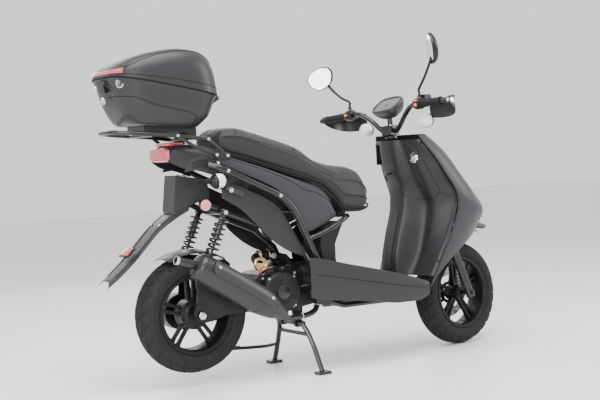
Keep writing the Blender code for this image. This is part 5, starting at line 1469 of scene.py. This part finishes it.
def side_tubes():
    for sign, side in ((1, "left"), (-1, "right")):
        line = smooth_path([flip(Vector(p), sign) for p in EXO], 10)
        brace = smooth_path([flip(Vector(p), sign) for p in BRACE], 10)
        show(f"side_rail_{side}", [tube(line, 0.0135, 28), tube(brace, 0.011, 24)], TUBE_BLACK, "frame",
             replaces=f"side_tube_{side}", angle=60)
        bolts = []
        for x, z, reach in ((0.112, 0.868, 0.0125), (0.346, 0.754, 0.0125), (0.560, 0.400, 0.0125)):
            y = along([(p.x, abs(p.y)) for p in line], x)
            bolts += bolt(Vector((x, (y + reach) * sign, z)), ACROSS * sign, 0.0060, 0.0045)
        show(f"side_rail_bolts_{side}", bolts, STEEL, "frame")
        tag = [(0.104, 0.800), (0.112, 0.812), (0.186, 0.778), (0.190, 0.764), (0.180, 0.758), (0.108, 0.790)]
        show(f"hanger_plate_{side}", plate(tag, 0.160 * sign, 0.165 * sign), HEAT_SHIELD, "frame",
             bevel=0.001)
        show(f"hanger_bolt_{side}", bolt(Vector((0.128, 0.1651 * sign, 0.790)), ACROSS * sign, 0.0075, 0.005), CHROME,
             "frame")


def floor_mats():
    """The floorboard with its grip ribs."""
    refine("floorboard", BLACK, bevel=0.0012)
    ribs = []
    for k in range(11):
        x = 0.640 + 0.034 * k
        z = along(FLOOR, x) + 0.0004
        for sign in (1, -1):
            path = [Vector((x + 0.010 * t, (0.045 + 0.125 * t) * sign, z)) for t in stations(0, 1, 9)]
            ribs.append(tube(path, 0.0026, 8))
    show("floor_ribs", ribs, RUBBER, "frame")
    screws = []
    for x in (0.650, 0.960):
        for sign in (1, -1):
            screws += bolt(Vector((x, 0.185 * sign, along(FLOOR, x) - 0.0004)), UP, 0.0055, 0.0022)
    show("floor_screws", screws, STEEL, "frame")


side_tubes()
floor_mats()
refine("main_frame", STEEL_BLACK, 0.0010)
refine("underseat_cover", BLACK, 0.0012)
refine("seat_pan", BLACK, 0.0008)
refine("storage_bin", BLACK_SMOOTH, 0.0010)
refine("ignition_lock", CHROME, 0.0008)


# Bars, grips, controls and mirrors.

BAR_BEND = Vector((1.018, 0.195, 1.096))
BAR_END = Vector((1.000, 0.37, 1.090))
BAR_WAY = (BAR_END - BAR_BEND).normalized()
BAR_R = 0.011
GRIP_R = 0.0165
LEVER = [(0.0, -0.006, 0.0040), (0.0, 0.0, 0.0060), (0.004, 0.012, 0.0055), (0.013, 0.045, 0.0045),
         (0.012, 0.090, 0.0045), (0.007, 0.122, 0.0050), (0.006, 0.126, 0.0035)]
GUARD = [(1.000, 0.402, 1.082, 1.106), (1.050, 0.390, 1.052, 1.112), (1.090, 0.345, 1.032, 1.114),
         (1.108, 0.280, 1.026, 1.112), (1.100, 0.200, 1.032, 1.100)]


def on_bar(distance, sign=1):
    """A point on the straight end of the bar, measured inwards from its tip."""
    return flip(BAR_END - BAR_WAY * distance, sign)


def handlebar():
    half = [(1.045, 0, 1.0), (1.045, 0.045, 1.0), (1.036, 0.11, 1.058), (1.024, 0.16, 1.090)]
    half = smooth_path([*half, BAR_BEND], 6)
    right = [flip(p, -1) for p in reversed(half[1:])]
    path = [flip(BAR_END, -1), flip(BAR_BEND * 0.7 + BAR_END * 0.3, -1), *right, *half,
            BAR_BEND * 0.7 + BAR_END * 0.3, BAR_END]
    neck = turned([(0.0161, 0), (0.025, 0), (0.025, 0.070), (0.0161, 0.070)], fork(0.705, -FORK_OFFSET), FORK_UP, 40,
                  loop=True)
    neck_top = rod(fork(0.7755, -FORK_OFFSET), fork(0.815, -FORK_OFFSET), 0.025, 40, 0.002)
    clamp = block((1.018, -0.03, 0.978), (1.072, 0.03, 1.022))
    show("bar_tube", [tube(path, BAR_R, 24), neck, neck_top, clamp], TUBE_BLACK, "steering",
         bevel=0.0012, replaces="handlebar", angle=50)
    screws = []
    for x in (1.028, 1.062):
        for y in (-0.020, 0.020):
            screws += bolt(Vector((x, y, 1.0215)), UP, 0.0050, 0.004)
    show("bar_clamp_bolts", screws, STEEL, "steering")


def grips():
    """Grips with their rings of ribs."""
    for sign, side in ((1, "left"), (-1, "right")):
        body = "steering" if side == "left" else "throttle"
        node = "grip_left" if side == "left" else "throttle_grip"
        profile = [(BAR_R + 0.0005, 0), (GRIP_R + 0.002, 0), (GRIP_R + 0.002, 0.004), (GRIP_R - 0.0006, 0.006)]
        for k in range(22):
            base = 0.0075 + k * 0.0046
            profile += [(GRIP_R - 0.0006, base), (GRIP_R, base + 0.0010), (GRIP_R, base + 0.0030),
                        (GRIP_R - 0.0006, base + 0.0040)]
        profile += [(GRIP_R - 0.0004, 0.111), (GRIP_R + 0.0015, 0.113), (GRIP_R + 0.0015, 0.118),
                    (BAR_R + 0.0005, 0.118)]
        show(f"grip_rubber_{side}", turned(profile, on_bar(0.124, sign), flip(BAR_WAY, sign), 48, loop=True), RUBBER,
             body, replaces=node, angle=35)


def controls():
    for side in ("left", "right"):
        refine(f"switch_housing_{side}", BLACK_SMOOTH, 0.0012)
    for sign, side in ((1, "left"), (-1, "right")):
        centre = on_bar(0.148, sign)
        perch = centre + Vector((0.030, 0, -0.004))
        pivot = perch + Vector((0.009, 0, 0.002))
        blade = []
        table = [Vector(row) for row in LEVER]
        for k in stations(0, len(table) - 1, 37):
            first = min(int(k), len(table) - 2)
            row = table[first].lerp(table[first + 1], k - first)
            spot = pivot + Vector((row.x, row.y * sign, 0))
            ring_points = []
            for t in stations(0, 2 * math.pi * 11 / 12, 12):
                c, s = math.cos(t), math.sin(t)
                wide = row.z * math.copysign(abs(c) ** 0.6, c)
                high = 0.005 * math.copysign(abs(s) ** 0.6, s)
                ring_points.append(spot + Vector((wide, 0, high)))
            blade.append(ring_points)
        show(f"lever_blade_{side}", stack(blade), STEEL_BLACK, f"lever_{side}",
             replaces=f"brake_lever_{side}", angle=60)
        show(f"lever_bolt_{side}", bolt(pivot + Vector((0, 0, 0.0085)), UP, 0.0050, 0.0035), STEEL, "steering")
        stalk = [(0.0085, 0), (0.0085, 0.007), (0.0070, 0.009), (0.0070, 0.0135)]
        show(f"mirror_nut_{side}", turned(stalk, centre + Vector((0.004, 0, 0.0138)), UP, 6), STEEL, "steering")
    refine("start_button", ORANGE_KNOB, 0.0008)
    refine("kill_switch", RED_KNOB, 0.0008)
    refine("signal_switch", ORANGE_KNOB, 0.0008)
    left = on_bar(0.148, 1)
    show("horn_button", rod(left + Vector((-0.0255, 0.001, -0.011)), left + Vector((-0.0285, 0.001, -0.012)), 0.0045,
                            20, 0.0008), BLACK_SMOOTH, "steering")
    tank = on_bar(0.148, -1) + Vector((0.031, -0.002, 0.0342))
    show("brake_tank_lid", block(tank + Vector((-0.020, -0.021, -0.0002)), tank + Vector((0.020, 0.021, 0.0035))),
         STEEL_BLACK, "steering", bevel=0.0012)
    lid_screws = []
    for dy in (-0.015, 0.015):
        lid_screws += bolt(tank + Vector((0, dy, 0.0034)), UP, 0.0032, 0.0016)
    show("brake_tank_screws", lid_screws, STEEL, "steering")


def handguards():
    for sign, side in ((1, "left"), (-1, "right")):
        lows = smooth_path([Vector((x, y, low)) for x, y, low, high in GUARD], 8)
        highs = smooth_path([Vector((x, y, high)) for x, y, low, high in GUARD], 8)
        columns = []
        for low, high in zip(lows, highs):
            columns.append([flip(low.lerp(high, t), sign) for t in stations(0, 1, 9)])
        tip, way = flip(BAR_END, sign), flip(BAR_WAY, sign)
        boss = rod(tip + way * 0.001, tip + way * 0.033, 0.012, 32, 0.002)
        paint = BLACK_SMOOTH if side == "left" else CASE_GREY
        show(f"handguard_shell_{side}", [sheet(columns, (0.003, 0.003 * sign, 0)), boss], paint, "steering",
             bevel=0.0010, replaces=f"handguard_{side}", angle=50)
        band = [[flip(low.lerp(high, t), sign) + Vector((0.0032, 0.0032 * sign, 0)) for t in stations(0.30, 0.72, 5)]
                for low, high in list(zip(lows, highs))[2:14]]
        show(f"handguard_flash_{side}", sheet(band, (0.0008, 0.0008 * sign, 0)), CHROME, "steering",
             bevel=0.0003)
        show(f"handguard_bolt_{side}", bolt(tip + way * 0.0332, way, 0.0060, 0.0016), STEEL, "steering")
        root = Vector((1.114, 0.190 * sign, 1.022))
        show(f"front_signal_shell_{side}", turned(POD[:5] + [(0.0308, 0.022)], root, -FORWARD, 40), BLACK_SMOOTH,
             "steering", angle=60)
        show(f"front_signal_lens_{side}", turned([(r * 0.985, h) for r, h in POD[3:]], root, -FORWARD, 40),
             CLEAR, "steering", angle=60)


def cluster():
    """The instrument pod: shell, dark dial, its rim, and marks without figures."""
    tilt = math.radians(35)
    slope = Vector((math.cos(tilt), 0, math.sin(tilt)))
    face = Vector((-math.sin(tilt), 0, math.cos(tilt)))
    centre = Vector((1.050, 0, 1.102))

    def level(h, a, b, count=72):
        flat = oval((0, 0), a, b, 3, count, lambda x: 0)
        return [centre + face * h + slope * p.x + ACROSS * p.y for p in flat]

    outer = [(-0.036, 0.034, 0.045), (-0.032, 0.040, 0.052), (-0.020, 0.048, 0.062), (-0.008, 0.0545, 0.0695),
             (0.002, 0.058, 0.074), (0.010, 0.0595, 0.0765), (0.018, 0.060, 0.077), (0.022, 0.0590, 0.0755),
             (0.024, 0.056, 0.072)]
    inner = [(0.0235, 0.051, 0.067), (0.0185, 0.048, 0.064)]
    post = rod((1.048, 0, 1.0224), (1.048, 0, 1.084), 0.012, 32)
    show("cluster_shell", [stack([level(h, a, b) for h, a, b in outer + inner]), post], HEAT_SHIELD, "steering",
         bevel=0.0008, replaces="instrument_cluster", angle=50)
    show("dial_glass", stack([level(0.0186, 0.0475, 0.0635), level(0.0200, 0.0470, 0.0630)]), GLASS_DARK, "steering",
         bevel=0.0004)
    marks = []
    for k in range(13):
        turn = math.radians(-30 + 240 * k / 12)
        out = ACROSS * math.cos(turn) + slope * math.sin(turn)
        start = centre + face * 0.0203 + out * 0.030 - slope * 0.004
        marks.append(rod(start, start + out * (0.006 if k % 3 == 0 else 0.0035), 0.0006, 8))
    show("dial_marks", marks, DIAL_WHITE, "steering")
    hand = centre + face * 0.0205 - slope * 0.004
    reach = ACROSS * math.cos(math.radians(200)) + slope * math.sin(math.radians(200))
    show("dial_hand", rod(hand, hand + reach * 0.026, 0.0007, 8), RED_KNOB, "steering")
    show("dial_boss", turned([(0.0042, 0), (0.0038, 0.0014), (0.0004, 0.0018)], hand - face * 0.0004, face, 24),
         BLACK_SMOOTH, "steering")


MIRROR_OUTLINE = [(-0.070, 0.026), (-0.048, 0.048), (0.015, 0.053), (0.062, 0.032), (0.072, 0.000),
                  (0.040, -0.045), (-0.030, -0.050), (-0.066, -0.012)]
MIRRORS = {
    # side: y sign, arm tip, head centre, which way the glass looks, roll of the head in degrees
    "left": (1, (1.004, 0.300, 1.212), (0.968, 0.346, 1.281), (-0.93, -0.30, -0.10), 20),
    "right": (-1, (1.006, -0.312, 1.258), (0.990, -0.345, 1.312), (-0.80, 0.58, -0.10), -62),
}


def mirrors():
    curve = [Vector((a, b, 0)) for a, b in MIRROR_OUTLINE]
    rounded = []
    for k, corner in enumerate(curve):
        before, after = curve[k - 1], curve[(k + 1) % len(curve)]
        start, end = corner.lerp(before, 0.42), corner.lerp(after, 0.42)
        for t in stations(0, 1, 7):
            rounded.append(start.lerp(corner, t).lerp(corner.lerp(end, t), t))
    for side, (sign, tip, centre, looks, roll) in MIRRORS.items():
        base = on_bar(0.148, sign) + Vector((0.004, 0, 0.0275))
        looks = Vector(looks).normalized()
        level = looks.cross(UP).normalized() * -sign
        rise = looks.cross(level).normalized()
        rise = rise if rise.z > 0 else -rise
        turn = math.radians(roll)
        way_a = level * math.cos(turn) + rise * math.sin(turn)
        way_b = rise * math.cos(turn) - level * math.sin(turn)

        def slice_at(back, scale):
            spot = Vector(centre) - looks * back
            return [spot + way_a * (p.x * scale) + way_b * (p.y * scale) for p in rounded]

        shell = [(-0.0045, 0.930), (-0.0060, 0.950), (-0.0060, 0.985), (-0.002, 0.998), (0.004, 1.0), (0.010, 0.955),
                 (0.016, 0.86), (0.021, 0.72), (0.024, 0.55), (0.0245, 0.30)]
        link = rod(Vector(tip), Vector(centre) - looks * 0.012, 0.0065, 24)
        path = smooth_path([base, base + UP * 0.020, base + UP * 0.035, base.lerp(Vector(tip), 0.5) + UP * 0.012,
                            Vector(tip)], 6)
        show(f"mirror_back_{side}", [stack([slice_at(b, s) for b, s in shell]), tube(path, 0.0058, 20), link],
             BLACK_SMOOTH, f"mirror_{side}", replaces=f"mirror_{side}", angle=50)
        show(f"mirror_glass_{side}", stack([slice_at(-0.0046, 0.925), slice_at(-0.0054, 0.918)]), MIRROR,
             f"mirror_{side}")
        nut = [(0.0095, 0), (0.0095, 0.010)]
        show(f"mirror_lock_nut_{side}", turned(nut, base + UP * 0.0005, UP, 6), STEEL_BLACK, f"mirror_{side}",
             bevel=0.0006)


handlebar()
grips()
controls()
handguards()
cluster()
mirrors()
refine("fork_crown", STEEL_BLACK, 0.0012)
refine("fork_slider_left", STEEL_BLACK, 0.0010)
refine("fork_slider_right", STEEL_BLACK, 0.0010)


# Engine, belt case, exhaust, shocks and stands.

CRANK = Vector((0.370, 0, 0.350))
MUFFLER_Y = -0.190
MUFFLER_REAR = Vector((-0.062, MUFFLER_Y, 0.510))
MUFFLER_FRONT = Vector((0.330, MUFFLER_Y, 0.267))
MUFFLER_WAY = (MUFFLER_FRONT - MUFFLER_REAR).normalized()
MUFFLER = [(0.0340, 0), (0.0400, 0.001), (0.0480, 0.005), (0.0535, 0.012), (0.0560, 0.024), (0.0575, 0.040),
           (0.0580, 0.060), (0.0595, 0.130), (0.0600, 0.200), (0.0590, 0.270), (0.0570, 0.330), (0.0515, 0.368),
           (0.0440, 0.400), (0.0330, 0.432), (0.0240, 0.462)]
HEADER = [(0.570, -0.020, 0.3425), (0.592, -0.022, 0.300), (0.580, -0.036, 0.254), (0.525, -0.072, 0.238),
          (0.440, -0.115, 0.238), (0.370, -0.155, 0.245), (0.325, MUFFLER_Y, 0.270)]


def fan_cover():
    """Slots, rings and hub on the cooling fan's cover."""
    centre = Vector((CRANK.x, -0.1255, CRANK.z))
    ribs = []
    for k in range(24):
        turn = 2 * math.pi * k / 24
        out = FORWARD * math.cos(turn) + UP * math.sin(turn)
        ribs.append(rod(centre + out * 0.040 - ACROSS * 0.0005, centre + out * 0.072 + ACROSS * 0.0032, 0.0022, 8))
    show("fan_slots", ribs, ENGINE, "swing_unit")
    rings_list = [ring(centre + ACROSS * 0.0010, ACROSS, 0.0375, 0.0030),
                  ring(centre + ACROSS * 0.0028, ACROSS, 0.0560, 0.0024),
                  ring(centre + ACROSS * 0.0055, ACROSS, 0.0760, 0.0030)]
    show("fan_rings", rings_list, ENGINE, "swing_unit")
    hub = [(0.029, -0.002), (0.030, 0.001), (0.027, 0.003), (0.014, 0.0036), (0.010, 0.0052), (0.0005, 0.0056)]
    show("fan_hub", turned(hub, centre, -ACROSS, 48), STEEL_BLACK, "swing_unit")
    screws = []
    for k in range(4):
        turn = math.radians(45 + 90 * k)
        out = FORWARD * math.cos(turn) + UP * math.sin(turn)
        spot = Vector((CRANK.x, -0.1148, CRANK.z)) + out * 0.0838
        screws += bolt(spot, -ACROSS, 0.0045, 0.0045)
    show("fan_screws", screws, STEEL, "swing_unit")


def exhaust():
    header = smooth_path([Vector(p) for p in HEADER], 8)
    show("exhaust_can", [turned(MUFFLER, MUFFLER_REAR, MUFFLER_WAY, 64), tube(header, 0.0125, 24),
                         block((0.102, -0.160, 0.372), (0.142, -0.0924, 0.398))], EXHAUST, "swing_unit",
         bevel=0.0006, replaces="muffler", angle=50)
    start = MUFFLER_REAR + MUFFLER_WAY * 0.02
    end = Vector((-0.150, MUFFLER_Y - 0.004, 0.535))
    way = (end - start).normalized()
    length = (end - start).length
    profile = [(0.0145, length * 0.45), (0.0145, length), (0.0170, length), (0.0170, 0)]
    show("tail_pipe", turned([(0.0003, length * 0.45), *profile], start, way, 48), STEEL_BLACK, "swing_unit",
         bevel=0.0004)
    show("tail_pipe_ring", turned([(0.0143, 0.000), (0.0176, 0.000), (0.0176, 0.012), (0.0143, 0.012)],
                                  end - way * 0.0119, way, 48, loop=True), STEEL, "swing_unit", bevel=0.0005)
    bands = []
    for h in (0.030, 0.318, 0.392):
        radius = along([(b, a) for a, b in MUFFLER], h)
        bands.append(ring(MUFFLER_REAR + MUFFLER_WAY * h, MUFFLER_WAY, radius - 0.0004, 0.0018, 64))
    show("exhaust_seams", bands, EXHAUST, "swing_unit")
    side_way = (-ACROSS + UP * 0.55).normalized()
    side_way = (side_way - MUFFLER_WAY * side_way.dot(MUFFLER_WAY)).normalized()
    cross = MUFFLER_WAY.cross(side_way)
    rows = []
    for h in stations(0.052, 0.372, 22):
        radius = along([(b, a) for a, b in MUFFLER], h) + 0.0045
        ends = min(1.0, 6.0 * min(h - 0.049, 0.375 - h) / 0.10)
        wide = math.radians(30) * (0.55 + 0.45 * ends)
        row = []
        for t in stations(-1, 1, 13):
            turn = wide * t
            row.append(MUFFLER_REAR + MUFFLER_WAY * h
                       + (side_way * math.cos(turn) + cross * math.sin(turn)) * radius)
        rows.append(row)
    show("heat_shield", sheet(rows, side_way * 0.0018), HEAT_SHIELD, "swing_unit", bevel=0.0006,
         angle=60)
    screws = []
    for h in (0.075, 0.350):
        radius = along([(b, a) for a, b in MUFFLER], h) + 0.0062
        screws += bolt(MUFFLER_REAR + MUFFLER_WAY * h + side_way * radius, side_way, 0.0055, 0.004)
    for x in (0.112, 0.132):
        screws += bolt(Vector((x, -0.1400, 0.3978)), UP, 0.0050, 0.004)
    show("exhaust_bolts", screws, STEEL, "swing_unit")
    for k in (14, 30):
        show(f"header_clamp_{k}", ring(header[k], header[k + 1] - header[k - 1], 0.0125, 0.0022, 40), STEEL,
             "swing_unit")


def engine_details():
    refine("engine", ENGINE, 0.0012)
    refine("belt_case", ENGINE, 0.0014)
    fan_cover()
    show("carburettor_ring", [ring((0.346, 0.030, 0.4975), FORWARD, 0.0245, 0.0040, 48),
                              ring((0.388, 0.030, 0.4935), FORWARD, 0.0265, 0.0026, 48)], BRASS, "swing_unit")
    show("carburettor_bowl", [rod((0.390, 0.030, 0.490), (0.390, 0.030, 0.452), 0.021, 40, 0.003),
                              rod((0.405, -0.002, 0.492), (0.405, 0.020, 0.492), 0.013, 32, 0.002)], DISC_STEEL,
         "swing_unit", bevel=0.0006)
    right_ring = Vector((0.300, -0.060, 0.470))
    intake = smooth_path([(0.352, 0.028, 0.496), (0.318, 0.010, 0.492), (0.302, -0.026, 0.482), right_ring], 8)
    show("intake_hose", tube(intake, 0.0175, 28), RUBBER, "swing_unit", angle=60)
    show("intake_clamp", [ring(intake[4], intake[5] - intake[3], 0.0176, 0.0018, 40),
                          ring(intake[-4], intake[-3] - intake[-5], 0.0176, 0.0018, 40)], STEEL, "swing_unit")
    cup = [(0.0255, -0.004), (0.0300, 0.0), (0.0300, 0.010), (0.0270, 0.012), (0.0235, 0.010), (0.0220, 0.002),
           (0.0005, 0.0010)]
    show("intake_cup", turned(cup, right_ring, -ACROSS, 48), BRASS, "swing_unit")
    fuel = smooth_path([(0.400, -0.004, 0.470), (0.420, -0.044, 0.455), (0.372, -0.078, 0.452),
                        (0.300, -0.086, 0.440), (0.262, -0.084, 0.402)], 8)
    show("fuel_hose", tube(fuel, 0.0038, 14), HOSE, "swing_unit", angle=60)
    wire = smooth_path([(0.345, -0.084, 0.446), (0.318, -0.088, 0.460), (0.290, -0.084, 0.452),
                        (0.276, -0.084, 0.424)], 8)
    show("spark_wire", tube(wire, 0.0020, 12), RED_WIRE, "swing_unit", angle=60)
    screws = []
    for x, z in ((0.300, 0.275), (0.440, 0.280), (0.455, 0.420), (0.300, 0.410)):
        screws += bolt(Vector((x, -0.0778, z)), -ACROSS, 0.0045, 0.004)
    for x, z in ((0.020, 0.478), (0.100, 0.392), (0.140, 0.390)):
        screws += bolt(Vector((x, -0.0918, z)), -ACROSS, 0.0050, 0.004)
    show("engine_bolts", screws, STEEL, "swing_unit")
    nut = [(0.0165, 0), (0.0168, 0.004), (0.0150, 0.0055), (0.0092, 0.006), (0.0085, 0.0115), (0.0005, 0.0120)]
    show("rear_axle_nut", turned(nut, REAR_AXLE - ACROSS * 0.1035, -ACROSS, 6), STEEL, "swing_unit")
    cover = []
    for k in range(9):
        t = math.radians(-100 + 180 * k / 8)
        cover.append(Vector((0.370 + 0.078 * math.cos(t), 0.1585, 0.345 + 0.078 * math.sin(t))))
    for k in range(9):
        t = math.radians(80 + 180 * k / 8)
        cover.append(Vector((0.0 + 0.068 * math.cos(t), 0.1585, 0.2925 + 0.068 * math.sin(t))))
    rim_bolts = []
    for p in cover[::2]:
        rim_bolts += bolt(p - ACROSS * 0.0008, ACROSS, 0.0045, 0.004)
    show("belt_case_bolts", rim_bolts, STEEL, "swing_unit")


SHOCK_TOP = Vector((0.118, 0, 0.700))
SHOCK_BOTTOM = Vector((0.020, 0, 0.470))
SHOCK_DOWN = (SHOCK_BOTTOM - SHOCK_TOP).normalized()


def shocks():
    """Both rear shocks; each coil spring rides on its own shock's body."""
    for sign, side in ((1, "left"), (-1, "right")):
        refine(f"shock_upper_{side}", STEEL_BLACK, 0.0006)
        refine(f"shock_lower_{side}", STEEL_BLACK, 0.0006)
        top = SHOCK_TOP + ACROSS * 0.112 * sign
        bottom = SHOCK_BOTTOM + ACROSS * 0.112 * sign
        side_way, other_way = across_axis(SHOCK_DOWN)
        first, last, turns = 0.034 + 0.0042 + 0.0004, 0.172 - 0.0042 - 0.0008, 6
        coil = []
        for k in range(turns * 24 + 1):
            turn = 2 * math.pi * k / 24
            out = side_way * math.cos(turn) + other_way * math.sin(turn)
            coil.append(top + SHOCK_DOWN * (first + (last - first) * k / (turns * 24)) + out * 0.0223)
        spring = show(f"shock_coil_{side}", tube(coil, 0.0042, 14), TUBE_BLACK, f"shock_{side}_body",
                      replaces=f"shock_spring_{side}", angle=60)
        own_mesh(spring)
        out = ACROSS * sign
        show(f"shock_top_nut_{side}", hex_nut(top + out * 0.0112, out, 0.0105, 0.007), STEEL, "frame")
        show(f"shock_low_nut_{side}", hex_nut(bottom + out * 0.0112, out, 0.0090, 0.003), STEEL, "swing_unit")


engine_details()
exhaust()
shocks()
refine("centre_stand", STEEL_BLACK, 0.0010)
refine("kick_lever", STEEL_BLACK, 0.0008)
